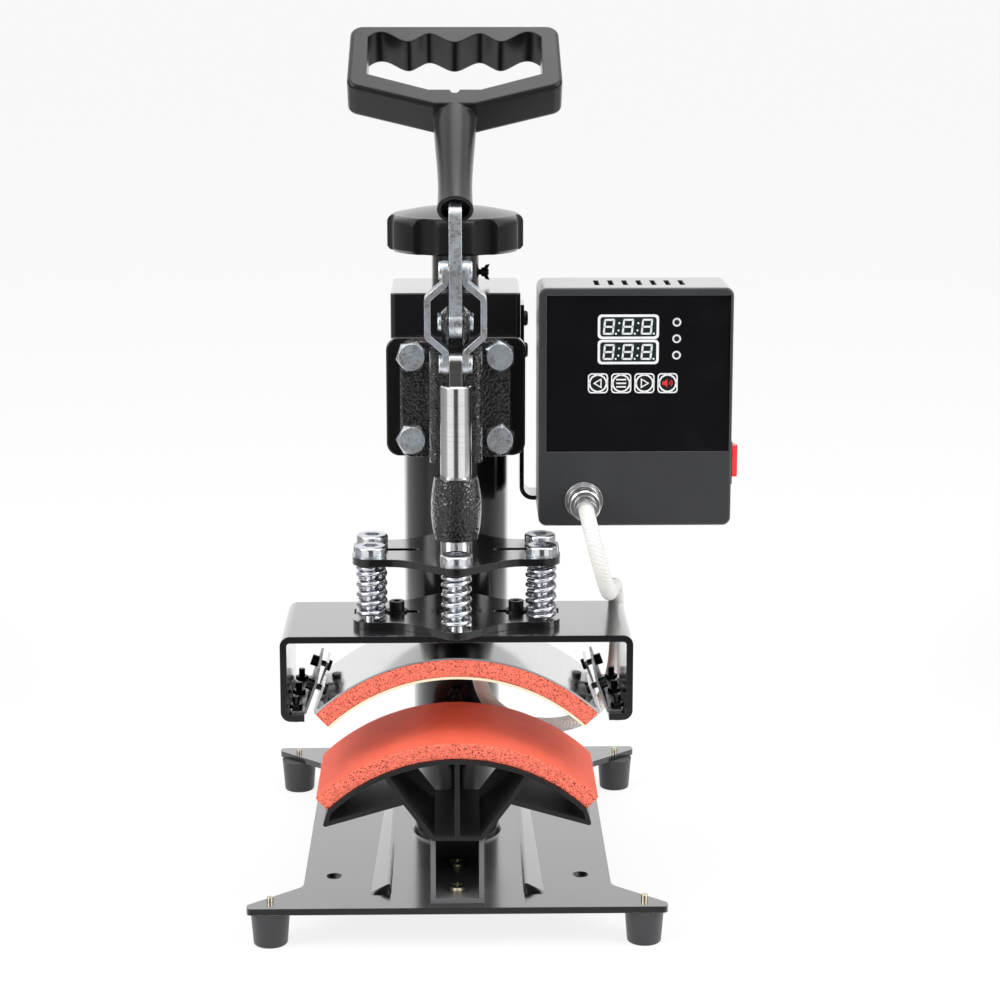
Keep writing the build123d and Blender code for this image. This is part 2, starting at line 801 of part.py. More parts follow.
def window_shape():
    outer_valley, inner_valley = valleys_x
    side, valley, bulge = grip_top - side_wall, grip_top - valley_wall, grip_top - bulge_wall
    half = [(-window_half_width, side), (-outer_valley, valley), (-bulge_x, bulge),
            (-inner_valley, valley - 0.6), (0, bulge - 0.6)]
    fingers = Spline(*half, *[(-x, y) for x, y in reversed(half[:-1])])
    right = [(window_half_width, side), (window_half_width, window_side_foot),
             (window_foot_half_width, window_foot)]
    left = [(-x, y) for x, y in reversed(right)]
    window = make_face([fingers, *Polyline(*right, *left).edges()])
    return window + Pos(0, window_foot) * Circle(window_notch_radius)


def make_neck():
    mouth, waist = neck_mouth_radius, neck_mouth_radius - 0.4
    top, deep_top = neck_top_half_width, grip_thick / 2
    sections = ((0, mouth, mouth), (6, waist, waist), (neck_length / 2, mouth + 0.2, mouth),
                (neck_length - 4, top, deep_top), (neck_length + 8, top, deep_top))
    faces = []
    for along, across, deep in sections:
        origin = (0, ring_y + lean_sin * along, ring_z + lean_cos * along)
        plane = Plane(origin=origin, x_dir=(1, 0, 0), z_dir=(0, lean_sin, lean_cos))
        faces.append(plane * Ellipse(across, deep))
    return loft(faces)


def make_links():
    """Two bent strips, flared out so that the fork's cheeks pass between them."""
    flare_out = link_flare_low + link_flare_rise
    flare_in = link_flare_top - link_flare_rise
    end = link_width / 2
    path = FilletPolyline(
        (link_in_x, -end), (link_in_x, link_flare_low), (link_flare_x, flare_out), (link_flare_x, flare_in),
        (link_in_x, link_flare_top), (link_in_x, link_length + end), radius=link_bend_radius)
    strip = front_view(trace(path, link_thick), -end, end)
    side_shape = Pos(0, link_length / 2) * Rot(0, 0, 90) * SlotOverall(link_length + link_width, link_width)
    past_strip = link_flare_x + 2 * link_thick
    strip &= side_view(side_shape, 0, past_strip)
    for z in (0, link_length):
        strip -= crosswise(0, past_strip, 0, z, pin_radius)
    tilt = degrees(asin(-crank_pin_y / link_length))
    placed = [Pos(0, 0, link_foot_z) * Rot(tilt, 0, 0) * side for side in mirrored(strip)]
    return group(placed)


def make_lower_pin():
    pin = crosswise(-link_out_x, link_out_x, 0, link_foot_z, pin_radius)
    for side in (1, -1):
        pin += pivot_cap(side, 0, link_foot_z)
    return pin


def pivot_cap(side, y, z):
    cap = crosswise(link_out_x, link_out_x + pivot_head, y, z, pivot_head_radius)
    cap = fillet(cap.edges().sort_by(Axis.X)[-1], 1)
    return cap if side > 0 else mirror(cap, Plane.YZ)


def make_upper_caps():
    caps = []
    for side in (1, -1):
        shank = crosswise(slot_half, link_out_x, crank_pin_y, crank_pin_z, pin_radius)
        shank = shank if side > 0 else mirror(shank, Plane.YZ)
        caps.append(shank + pivot_cap(side, crank_pin_y, crank_pin_z))
    return group(caps)


def make_plunger():
    rod = upright(0, 0, upper_plate_top, shoulder_z, plunger_radius)
    rod = chamfer(rod.edges().group_by(Axis.Z)[-1], 0.8)
    top = link_foot_z + plunger_tang_top
    tang = block(-lever_thick / 2, lever_thick / 2, -plunger_tang_top, plunger_tang_top, shoulder_z - 1, top)
    tang = fillet(tang.edges().filter_by(Axis.X).group_by(Axis.Z)[-1], plunger_tang_top * 0.8)
    rod += tang
    rod -= crosswise(-plunger_radius, plunger_radius, 0, link_foot_z, pin_radius + run_gap)
    return rod - upright(0, 0, upper_plate_top, upper_plate_top + plunger_bolt_reach, plunger_bolt_radius)


def make_plunger_bolt():
    bolt = upright(0, 0, upper_plate_z, upper_plate_top + plunger_bolt_reach, plunger_bolt_radius)
    seat = upper_plate_z - plunger_bolt_head
    return bolt + hex_head(0, 0, seat, plunger_bolt_head_radius, plunger_bolt_head)


def spring_places():
    sides = [(x, y) for x in (-side_lobe_x, side_lobe_x) for y in (-side_lobe_y, side_lobe_y)]
    return [(0, -end_lobe_y), (0, end_lobe_y), *sides]


def plate_shape():
    """The stamped six-lobed outline that both spring plates share."""
    reach_x, reach_y = side_lobe_x + lobe_radius, side_lobe_y + lobe_radius
    wide = RectangleRounded(2 * reach_x, 2 * reach_y, lobe_radius - 0.1)
    ends = Pos(0, end_lobe_y) * Circle(lobe_radius) + Pos(0, -end_lobe_y) * Circle(lobe_radius)
    shape = wide + make_hull((ends + Rectangle(2 * lobe_shoulder_x, 2 * side_lobe_y)).edges())
    corners = shape.vertices().filter_by(
        lambda v: abs(abs(v.Y) - reach_y) < 0.01 and abs(v.X) < side_lobe_x - 1)
    shape = fillet(corners, lobe_blend)
    for side in (1, -1):
        shape -= Pos(side * side_notch_x, 0) * Circle(side_notch_radius)
        shape -= Pos(side * slot_x, 0) * SlotOverall(slot_length, slot_width)
    return shape


def make_lower_plate():
    plate = plan_view(plate_shape() - Circle(plate_bore_radius), lower_plate_z, lower_plate_top)
    for x, y in spring_places():
        plate -= upright(x, y, lower_plate_z, lower_plate_top, spring_bolt_radius)
    return plate


def make_upper_plate():
    plate = plan_view(plate_shape() - Circle(plunger_bolt_radius), upper_plate_z, upper_plate_top)
    for x, y in spring_places():
        plate -= upright(x, y, upper_plate_z - 1, upper_plate_top + 1, spring_bolt_radius + run_gap)
    return plate


def make_spring_washers():
    washers = []
    face = upper_plate_top + washer_thick
    for x, y in spring_places():
        disc = upright(x, y, upper_plate_top, face, washer_radius)
        washers.append(disc - upright(x, y, upper_plate_top, face, spring_bolt_radius + run_gap))
    return group(washers)


def make_spring_bolts():
    seat = upper_plate_top + washer_thick + run_gap
    bolts = []
    for x, y in spring_places():
        head = upright(x, y, seat, seat + spring_bolt_head, spring_bolt_head_radius)
        head = fillet(head.edges().sort_by(Axis.Z)[-1], spring_bolt_round)
        socket = Pos(x, y, seat + spring_bolt_head - spring_bolt_socket)
        head -= socket * extrude(RegularPolygon(spring_bolt_head_radius / 2, 6), spring_bolt_socket + 1)
        bolts.append(head + upright(x, y, lower_plate_z, seat, spring_bolt_radius))
    return group(bolts)


def helix_point(angle, pitch, radius, z):
    return Vector(radius * cos(angle), radius * sin(angle), z + pitch * angle / (2 * pi))


def helix_heading(angle, pitch, radius):
    return Vector(-radius * sin(angle), radius * cos(angle), pitch / (2 * pi)).normalized()


def coil_path(radius, pitch, turns, z):
    """A helix as pairs of tangent arcs, one pair for each quarter turn."""
    edges = []
    for i in range(int(4 * turns)):
        a0, a1 = i * pi / 2, (i + 1) * pi / 2
        p0, p1 = helix_point(a0, pitch, radius, z), helix_point(a1, pitch, radius, z)
        t0, t1 = helix_heading(a0, pitch, radius), helix_heading(a1, pitch, radius)
        chord = p1 - p0
        both = t0 + t1
        spread = 2 * (1 - t0.dot(t1))
        reach = (-chord.dot(both) + sqrt(chord.dot(both)**2 + spread * chord.dot(chord))) / spread
        knot = (p0 + p1 + (t0 - t1) * reach) / 2
        at_knot = (p1 - t1 * reach) - (p0 + t0 * reach)
        edges.append(Edge.make_tangent_arc(p0, t0, knot))
        edges.append(Edge.make_tangent_arc(knot, at_knot, p1))
    return edges


def make_springs():
    coil_radius = spring_radius - spring_wire / 2
    floor = lower_plate_top + spring_wire / 2
    ceiling = upper_plate_z - spring_wire / 2
    pitch = (ceiling - floor) / spring_turns
    edges = coil_path(coil_radius, pitch, spring_turns, floor)
    start = Plane(origin=edges[0] @ 0, z_dir=edges[0] % 0, x_dir=(1, 0, 0))
    coil = sweep(start * RegularPolygon(spring_wire / 2, 6), Wire(edges))
    print(f"springs: {spring_turns} turns each, least gap between turns {pitch - spring_wire:.2f} mm")
    return group([Pos(x, y, 0) * coil for x, y in spring_places()])


def make_plate_screws():
    screws = []
    for side in (1, -1):
        x = side * (slot_x + 2)
        seat = lower_plate_top + washer_thick
        screw = upright(x, 0, lower_plate_z - sheet, seat, plate_screw_radius)
        screw += upright(x, 0, lower_plate_top, seat, plate_washer_radius)
        head = upright(x, 0, seat, seat + plate_screw_head, plate_screw_head_radius)
        socket = RegularPolygon(plate_screw_head_radius / 2, 6)
        head -= Pos(x, 0, seat + 2) * extrude(socket, plate_screw_head)
        screws.append(screw + head)
    return group(screws)


def make_bracket():
    """A U bent from one strip, with lips turned in at the feet of its legs."""
    x = bracket_half_width - sheet / 2
    top = lower_plate_z - sheet / 2
    foot = bracket_foot_z + sheet / 2
    lip = bracket_half_width - bracket_lip
    corners = ((-lip, foot), (-x, foot), (-x, top), (x, top), (x, foot), (lip, foot))
    path = FilletPolyline(*corners, radius=bracket_round - sheet / 2)
    bracket = front_view(trace(path, sheet), -bracket_depth / 2, bracket_depth / 2)
    for side in (1, -1):
        bracket -= upright(side * (slot_x + 2), 0, top - sheet, lower_plate_z + 1, plate_screw_radius)
        for y in clip_screw_rows():
            bracket -= upright(side * clip_screw_x(), y, bracket_foot_z - 1, foot + sheet, clip_screw_radius)
    return bracket


def clip_screw_rows():
    return [-clip_screw_pitch, 0, clip_screw_pitch]


def clip_screw_x():
    return bracket_half_width - sheet - clip_base / 2 + 1


def lean_in(start, length, thick):
    """A sheet flange that rises from start and leans in, as a thin outline in X and Z."""
    s, c = sin(radians(clip_lean)), cos(radians(clip_lean))
    x, z = start
    tip_x, tip_z = x - length * s, z + length * c
    return outline((x, z), (tip_x, tip_z), (tip_x + thick * c, tip_z + thick * s),
                   (x + thick * c, z + thick * s))


def clip_root():
    return (bracket_half_width - sheet - clip_base, bracket_foot_z + sheet)


def tab_root():
    angle = radians(heater_half_angle)
    x = band_radius * sin(angle)
    z = heater_centre_z + band_radius * cos(angle)
    return (x - 0.6, z - 0.6)


def make_tension_clips():
    x, z = clip_root()
    rise = (clip_top_z - z) / cos(radians(clip_lean))
    end = x + clip_base - (bracket_round - sheet) - 0.3
    base = outline((x, z), (end, z), (end, z + clip_sheet), (x, z + clip_sheet))
    clip = front_view(base + lean_in((x, z), rise, clip_sheet), -clip_length / 2, clip_length / 2)
    for y in clip_screw_rows():
        clip -= upright(clip_screw_x(), y, z - 1, z + clip_sheet + 1, clip_screw_radius)
    for y in tension_rows():
        clip -= tension_cylinder(y, -3, 3, tension_radius)
    return group(mirrored(clip))


def make_heater_tabs():
    """Two short tabs that stand up from each end of the band, one for each tension screw."""
    inside = lengthwise(0, heater_centre_z, heater_front, heater_front + heater_depth, band_radius)
    tabs = []
    for y in tension_rows():
        tab = front_view(lean_in(tab_root(), tab_height, clip_sheet), y - tab_length / 2, y + tab_length / 2)
        tabs += mirrored(tab - inside - tension_cylinder(y, -tab_reach() - 1, -1, tension_radius))
    return tabs


def tension_rows():
    return [-tension_pitch / 2, tension_pitch / 2]


def tension_cylinder(y, start, end, radius):
    """A cylinder square to the clip's flange, at mid height, from start to end along its axis."""
    x, z = clip_root()
    rise = (clip_top_z - z) * tension_share
    s, c = sin(radians(clip_lean)), cos(radians(clip_lean))
    origin = Vector(x - rise * s / c, y, z + rise)
    axis = Vector(c, 0, s)
    plane = Plane(origin=origin + axis * start, z_dir=axis, x_dir=(0, 1, 0))
    return extrude(plane * Circle(radius), end - start)


def make_tension_screws():
    screws = []
    for y in tension_rows():
        screw = tension_cylinder(y, -tab_reach() - 1, clip_sheet + 1.5, tension_radius)
        screw += tension_cylinder(y, clip_sheet, clip_sheet + tension_head, tension_head_radius)
        screw += tension_cylinder(y, -tab_reach() - tension_nut, -tab_reach(), tension_head_radius)
        screws += mirrored(screw)
    return group(screws)


def tab_reach():
    """Distance from the clip's inner face to the tab's inner face, square to both."""
    s, c = sin(radians(clip_lean)), cos(radians(clip_lean))
    x, z = clip_root()
    tab_x, tab_z = tab_root()
    return (x - tab_x) * c + (z - tab_z) * s


def make_clip_screws():
    screws = []
    z = bracket_foot_z
    for y in clip_screw_rows():
        x = clip_screw_x()
        shank = upright(x, y, z, z + sheet + clip_sheet + clip_screw_proud, clip_screw_radius)
        head = upright(x, y, z - clip_head, z, clip_head_radius)
        nut = hex_head(x, y, z + sheet + clip_sheet, clip_head_radius, clip_head)
        screws += mirrored(shank + head + nut)
    return group(screws)


def heater_layer(inner, thick):
    shape = arch(inner, inner + thick, heater_half_angle, heater_centre_z)
    return front_view(shape, heater_front, heater_front + heater_depth)


def make_film():
    return heater_layer(heater_film_radius, film_thick)


def make_cushion():
    return heater_layer(heater_film_radius + film_thick, cushion_thick)


def make_band():
    band = heater_layer(band_radius - band_thick, band_thick)
    return band + make_heater_tabs()


def make_junction():
    rear = heater_front + heater_depth
    x, _, z = cable_route[-1]
    half = junction_width / 2
    body = block(x - half, x + half, rear, rear + junction_depth, z, z + junction_height)
    body = fillet(body.edges().filter_by(Axis.Z).group_by(Axis.Y)[-1], 3)
    return fillet(body.edges().group_by(Axis.Z)[-1].sort_by(Axis.Y)[-1], 1)


def make_pad():
    shape = arch(skin_radius, pad_radius, pad_half_angle, pad_centre_z)
    return front_view(shape, pad_front, pad_front + pad_depth)


def make_platen():
    """An extruded profile: arched skin, struts, chord walls and a foot that stands on the channel."""
    inner = skin_radius - skin_thick
    shape = arch(inner, skin_radius, pad_half_angle, pad_centre_z)
    foot_z = platen_foot_z + platen_wall / 2
    anchor = skin_radius - platen_rib / 2
    reach = strut_corner_x + (strut_corner_x - platen_foot_x) * 0.62
    reach_z = pad_centre_z + sqrt(anchor**2 - reach**2)
    for side in (1, -1):
        tip = (side * platen_tip_x * 0.985, platen_tip_z)
        corner = (side * strut_corner_x, strut_corner_z)
        foot = (side * platen_foot_x, foot_z)
        shape += wall(tip, corner, platen_wall)
        shape += wall(corner, foot, platen_wall)
        shape += wall(corner, (side * reach, reach_z), platen_wall)
        end = radians(pad_half_angle)
        top_tip = (side * anchor * sin(end), pad_centre_z + anchor * cos(end))
        shape += wall(tip, top_tip, platen_wall)
    shape += wall((-platen_foot_x, foot_z), (platen_foot_x, foot_z), platen_wall)
    shape += wall((0, platen_foot_z + platen_rib / 2), (0, pad_centre_z + anchor), platen_rib)
    return front_view(shape, platen_front, platen_front + platen_depth)


def make_channel():
    """A channel open at the front: floor, two sides and a back, under the platen's foot."""
    rear = channel_front + channel_depth
    inner = channel_half_width - channel_wall
    body = block(-channel_half_width, channel_half_width, channel_front, rear, plate_top, platen_foot_z)
    body = fillet(body.edges().filter_by(Axis.Z).group_by(Axis.Y)[-1], 3)
    floor = plate_top + channel_wall
    body -= block(-inner, inner, channel_front - 1, rear - channel_wall, floor, platen_foot_z + 1)
    for y in floor_screw_y:
        body -= upright(0, y, plate_top, plate_top + channel_wall, floor_screw_radius)
    return body


def make_floor_screws():
    screws = []
    seat = plate_top + channel_wall
    for y in floor_screw_y:
        head = upright(0, y, seat, seat + floor_screw_head, floor_screw_head_radius)
        head = fillet(head.edges().sort_by(Axis.Z)[-1], 2.2)
        for turn in (0, 90):
            head -= Pos(0, y, seat + floor_screw_head) * Rot(0, 0, turn) * Box(6, 1.3, 3)
        screws.append(head + upright(0, y, plate_top, seat, floor_screw_radius))
    return group(screws)


def make_control_case():
    """A moulded box, open at the back, with vents in its top and pockets for panel, socket and rocker."""
    body = block(box_left, box_right, box_front, box_rear, box_bottom, box_top)
    body = fillet(body.edges().filter_by(Axis.Y), box_round)
    body = fillet(body.edges().group_by(Axis.Y)[0], 1.6)
    body -= block(box_left + box_wall, box_right - box_wall, box_front + 2 * box_wall, box_rear + 1,
                  box_bottom + box_wall, box_top - box_wall)
    body -= block(panel_left, panel_right, box_front - 1, panel_face + panel_thick,
                  panel_bottom, panel_top)
    body -= key_holes(box_front - 1, box_front + 3 * box_wall, move_gap)
    body -= lengthwise(socket_x, socket_z, box_front - 1, box_front + 2 * box_wall + 1, socket_radius - 2)
    for i in range(vent_count):
        x = vent_first_x + vent_pitch * i
        y = box_front + box_depth / 2
        body -= block(x, x + vent_width, y - vent_length / 2, y + vent_length / 2,
                      box_top - box_wall - 1, box_top + 1)
    half_y, half_z = rocker_length / 2 + rocker_frame_rim, rocker_height / 2 + rocker_frame_rim
    body -= block(box_right - box_wall - 1, box_right + 1, rocker_y - half_y, rocker_y + half_y,
                  rocker_z - half_z, rocker_z + half_z)
    return body


def key_holes(y0, y1, gap):
    holes = [block(x - gap, x + key_width + gap, y0, y1, key_bottom - gap, key_bottom + key_height + gap)
             for x in key_lefts]
    return holes[0] + holes[1:]


def make_control_back():
    face = box_rear - box_wall
    cover = block(box_left + box_wall, box_right - box_wall, face, box_rear,
                  box_bottom + box_wall, box_top - box_wall)
    half = inlet_width / 2
    cover -= block(inlet_x - half, inlet_x + half, face - 1, box_rear + 1, inlet_z - inlet_height / 2,
                   inlet_z + inlet_height / 2)
    for x, z in back_screw_places():
        cover -= lengthwise(x, z, face - 1, box_rear + 1, side_screw_radius)
    return cover


def back_screw_places():
    """The two screws that hold the cover's corners and the two that hold the strap's flange."""
    corners = [(box_left + cover_screw_inset, box_top - cover_screw_inset),
               (box_right - cover_screw_inset, box_top - cover_screw_inset)]
    z = strap_foot + strap_flange_height * 0.7
    return corners + [((box_left + box_right) / 2 + offset, z) for offset in strap_screw_offsets]


def make_control_panel():
    y = panel_face
    panel = block(panel_left, panel_right, y, y + panel_thick, panel_bottom, panel_top)
    panel -= key_holes(y - 1, y + panel_thick + 1, move_gap)
    for z in window_bottoms:
        panel -= block(window_left, window_left + window_width, y - 1, y + window_thick, z, z + window_height)
    for z in ring_heights:
        panel -= lengthwise(ring_x, z, y - 1, y + window_thick, ring_radius)
    return panel


def make_display_windows():
    right, front, back = window_left + window_width, panel_face - window_proud, panel_face + window_thick
    return group([block(window_left, right, front, back, z, z + window_height) for z in window_bottoms])


def make_indicator_rings():
    y = panel_face
    rings = []
    for z in ring_heights:
        ring = lengthwise(ring_x, z, y - window_proud, y + window_thick, ring_radius)
        rings.append(ring - lengthwise(ring_x, z, y - 1, y + window_thick / 2, ring_radius - ring_wall))
    return group(rings)


def make_key(left):
    mid_x, mid_z = left + key_width / 2, key_bottom + key_height / 2
    y = panel_face
    shape = Pos(mid_x, mid_z) * RectangleRounded(key_width, key_height, key_round)
    key = front_view(shape, y - key_proud, y + panel_thick + 1)
    return fillet(key.edges().group_by(Axis.Y)[0], 0.4)


def make_rocker_frame():
    """A collar that fills the case's side opening and holds the ends of the rocker's pivot pin."""
    half_y, half_z = rocker_length / 2, rocker_height / 2
    rim = rocker_frame_rim
    frame = block(box_right - box_wall - 6, box_right, rocker_y - half_y - rim, rocker_y + half_y + rim,
                  rocker_z - half_z - rim, rocker_z + half_z + rim)
    frame += block(box_right, box_right + rocker_frame_proud,
                   rocker_y - half_y - 2 * rim, rocker_y + half_y + 2 * rim,
                   rocker_z - half_z - 2 * rim, rocker_z + half_z + 2 * rim)
    frame -= block(box_right - box_wall - 5, box_right + 3, rocker_y - half_y, rocker_y + half_y,
                   rocker_z - half_z, rocker_z + half_z)
    return frame - rocker_pin(rocker_pin_radius + run_gap, rocker_pin_end + move_gap / 2)


def rocker_pin(radius, end):
    """The rocker's upright pivot, reaching end past the pocket above and below."""
    reach = rocker_height / 2 + end
    return upright(box_right - rocker_pivot_depth, rocker_y, rocker_z - reach, rocker_z + reach, radius)


def make_rocker():
    """A shallow V rocker about an upright pivot, tilted so that its front end stands out."""
    half = rocker_length / 2 - 1.4
    right = [(0.5, half), (rocker_reach, half - 1.2), (rocker_reach - rocker_dip, 0)]
    left = [(x, -y) for x, y in reversed(right[:-1])]
    profile = outline((-1.5, 0), *right, *left)
    half_z = rocker_height / 2 - move_gap
    body = plan_view(profile, rocker_z - half_z, rocker_z + half_z)
    ends = body.edges().filter_by(Axis.Z).group_by(Axis.X)[-1]
    body = Pos(box_right - rocker_pivot_depth, rocker_y, 0) * Rot(0, 0, rocker_tilt) * fillet(ends, 1.4)
    return body + rocker_pin(rocker_pin_radius, rocker_pin_end)


def make_mains_inlet():
    rear = box_rear
    half_x, half_z = inlet_width / 2, inlet_height / 2
    body = block(inlet_x - half_x, inlet_x + half_x, rear - inlet_pocket - 2, rear,
                 inlet_z - half_z, inlet_z + half_z)
    body += block(inlet_x - half_x - 3, inlet_x + half_x + 3, rear, rear + inlet_proud,
                  inlet_z - half_z - 3, inlet_z + half_z + 3)
    body -= block(inlet_x - half_x + 2, inlet_x + half_x - 2, rear - inlet_pocket, rear + 3,
                  inlet_z - half_z + 2, inlet_z + half_z - 2)
    for offset in (-7, 0, 7):
        body += block(inlet_x + offset - 1, inlet_x + offset + 1, rear - inlet_pocket - 1, rear - 3,
                      inlet_z - 3, inlet_z + 3)
    return body


def make_cable_socket():
    body = lengthwise(socket_x, socket_z, box_front - 2, box_front, socket_radius + 1.2)
    body += lengthwise(socket_x, socket_z, box_front - socket_reach, box_front - 2, socket_radius - 1)
    return body + lengthwise(socket_x, socket_z, box_front, box_front + 2 * box_wall, socket_radius - 2)


def make_cable_plug():
    face = box_front - socket_reach
    end = cable_route[0][1]
    ring = lengthwise(socket_x, socket_z, face - plug_ring, face, plug_ring_radius)
    ring = chamfer(ring.edges().filter_by(GeomType.CIRCLE), 0.8)
    return ring + lengthwise(socket_x, socket_z, end, face - plug_ring, plug_tail_radius)


def cable_radii():
    """Each corner's arc is as large as its two runs allow."""
    points = [Vector(*p) for p in cable_route]
    radii = []
    for before, here, after in zip(points, points[1:], points[2:]):
        turn = radians((here - before).get_angle(after - here))
        short = min((here - before).length, (after - here).length)
        radii.append(cable_bend_share * short / tan(turn / 2))
    return radii


def make_cable():
    radii = cable_radii()
    print("cable radii:", " ".join(f"{r:.0f}" for r in radii), f"(diameter {cable_diameter} mm)")
    path = FilletPolyline(*cable_route, radius=radii)
    start = Plane(origin=path @ 0, z_dir=path % 0)
    tube = sweep(start * Circle(cable_diameter / 2), path)
    expected = path.length * pi * cable_diameter**2 / 4
    print(f"cable: {path.length:.1f} mm long, volume {tube.volume:.0f} of {expected:.0f} mm3")
    return tube


def make_strap():
    """The bar that carries the control box: down the housing's side, out below, and up behind the box."""
    x = housing_half_width + strap_thick / 2
    foot = strap_foot + strap_thick / 2
    path = FilletPolyline((x, strap_top), (x, foot), (strap_reach, foot), radius=strap_bend)
    strap = front_view(trace(path, strap_thick), strap_front, strap_front + strap_depth)
    strap += block(box_left + 12, strap_reach, box_rear, strap_front + 0.5,
                   strap_foot, strap_foot + strap_flange_height)
    for z in side_screw_heights:
        strap -= crosswise(housing_half_width - 1, x + strap_thick, strap_mid_y(), z, side_screw_radius)
    for px, pz in back_screw_places()[2:]:
        strap -= lengthwise(px, pz, box_rear - 1, strap_front + 1, side_screw_radius)
    return strap


def make_strap_screws():
    face = housing_half_width + strap_thick
    screws = []
    for z in side_screw_heights:
        head = crosswise(face, face + side_screw_head, strap_mid_y(), z, side_screw_head_radius)
        head = fillet(head.edges().sort_by(Axis.X)[-1], 1.6)
        shank = crosswise(housing_half_width - housing_wall, face, strap_mid_y(), z, side_screw_radius)
        screws.append(head + shank)
    return group(screws)


def make_back_screws():
    screws = []
    for i, (x, z) in enumerate(back_screw_places()):
        seat = box_rear if i < 2 else strap_front + 0.5
        screw = lengthwise(x, z, box_rear - box_wall, seat, side_screw_radius)
        screws.append(screw + lengthwise(x, z, seat, seat + 2, side_screw_head_radius))
    return group(screws)


nodes = {
    "base_plate": make_base_plate(),
    "feet": make_feet(),
    "base_screws": group([make_foot_screws(), make_floor_screws()]),
    "column_post": make_post(),
    "stop_bolt": make_stop_bolt(),
    "post_nut_plug": make_nut_plug(),
    "platen_channel": make_channel(),
    "platen": make_platen(),
    "platen_pad": make_pad(),
    "thrust_bush": make_thrust_bush(),
    "height_spindle": make_spindle(),
    "height_knob": make_knob(),
    "sleeve_tube": make_sleeve(),
    "housing": make_housing(),
    "spindle_boss": make_boss(),
    "head_plate": make_head_plate(),
    "casting": make_casting(),
    "casting_bolts": make_head_bolts(),
    "fork_pivot_bolt": make_fork_bolt(),
    "wing_screw": group([make_wings(), make_wing_core()]),
    "lever_bar": make_lever_bar(),
    "lever_pivot_stub": make_lever_stub(),
    "grip": make_grip(),
    "links": make_links(),
    "lower_pivot_pin": make_lower_pin(),
    "upper_pivot_caps": make_upper_caps(),
    "plunger_rod": make_plunger(),
    "plunger_bolt": make_plunger_bolt(),
    "upper_spring_plate": make_upper_plate(),
    "spring_washers": make_spring_washers(),
    "springs": make_springs(),
    "lower_spring_plate": make_lower_plate(),
    "spring_bolts": make_spring_bolts(),
    "plate_screws": make_plate_screws(),
    "u_bracket": make_bracket(),
    "tension_clips": make_tension_clips(),
    "clip_screws": make_clip_screws(),
    "tension_screws": make_tension_screws(),
    "heater_band": make_band(),
    "heater_cushion": make_cushion(),
    "heater_film": make_film(),
    "heater_junction": make_junction(),
    "control_case": make_control_case(),
    "control_back": make_control_back(),
    "control_panel": make_control_panel(),
    "display_windows": make_display_windows(),
    "indicator_rings": make_indicator_rings(),
    "rocker_frame": make_rocker_frame(),
    "power_rocker": make_rocker(),
    "mains_inlet": make_mains_inlet(),
    "box_strap": make_strap(),
    "box_screws": group([make_strap_screws(), make_back_screws()]),
    "cable_socket": make_cable_socket(),
    "cable_plug": make_cable_plug(),
    "heater_cable": make_cable(),
    **{f"key_{i + 1}": make_key(left) for i, left in enumerate(key_lefts)},
}

# The finished part stands with its origin under the middle of its box, the cable and its plug left out.
cord_nodes = ("heater_cable", "cable_plug")
boxes = [shape.bounding_box() for name, shape in nodes.items() if name not in cord_nodes]
mid_x = (min(box.min.X for box in boxes) + max(box.max.X for box in boxes)) / 2
mid_y = (min(box.min.Y for box in boxes) + max(box.max.Y for box in boxes)) / 2
shift = Pos(-mid_x, -mid_y, -min(box.min.Z for box in boxes))

os.makedirs("parts", exist_ok=True)
for name, shape in nodes.items():
    export_step(shift * shape, f"parts/{name}.step")
print("shift:", *(round(v, 3) for v in shift.position), "stroke:", round(plunger_stroke, 3))
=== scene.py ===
"""Dresses the curved cap press: foam, springs, cable, display, finishes, studio and camera."""

import json
import logging
import math
from dataclasses import dataclass, field
from enum import Enum
from functools import partial
from typing import Iterable, Mapping, Optional, Protocol, Sequence, Union

import bpy
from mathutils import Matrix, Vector, noise


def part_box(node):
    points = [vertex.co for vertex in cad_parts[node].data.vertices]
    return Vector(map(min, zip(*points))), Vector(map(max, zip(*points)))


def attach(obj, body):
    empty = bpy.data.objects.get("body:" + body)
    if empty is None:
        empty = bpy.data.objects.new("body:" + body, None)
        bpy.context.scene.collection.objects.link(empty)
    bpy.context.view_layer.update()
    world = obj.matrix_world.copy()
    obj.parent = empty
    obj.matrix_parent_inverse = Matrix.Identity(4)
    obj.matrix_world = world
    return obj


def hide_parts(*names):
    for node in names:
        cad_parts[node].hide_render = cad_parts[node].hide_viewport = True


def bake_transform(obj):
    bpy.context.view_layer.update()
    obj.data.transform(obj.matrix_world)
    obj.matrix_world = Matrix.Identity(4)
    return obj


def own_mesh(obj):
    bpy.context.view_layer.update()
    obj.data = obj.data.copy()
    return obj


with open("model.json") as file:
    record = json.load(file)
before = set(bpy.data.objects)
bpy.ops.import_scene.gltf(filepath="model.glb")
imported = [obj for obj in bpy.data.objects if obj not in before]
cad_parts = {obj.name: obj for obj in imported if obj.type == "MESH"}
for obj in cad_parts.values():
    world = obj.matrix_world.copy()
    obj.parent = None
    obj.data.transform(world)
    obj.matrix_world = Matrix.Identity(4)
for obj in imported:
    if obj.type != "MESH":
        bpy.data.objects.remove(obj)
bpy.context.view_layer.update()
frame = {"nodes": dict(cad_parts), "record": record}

LOG = logging.getLogger("cap_press")
SHEEN_POWER = 2.3  # how late the sheen rises towards a grazing angle
SHEEN_COLOUR = (0.95, 0.95, 0.95)
MM = 0.001
SAME_POINT = 1e-6  # metres
Spot = tuple[float, float]
Triple = tuple[float, float, float]
Colour = Triple
Outline = Sequence[Spot]
Point = Union[Vector, Sequence[float]]


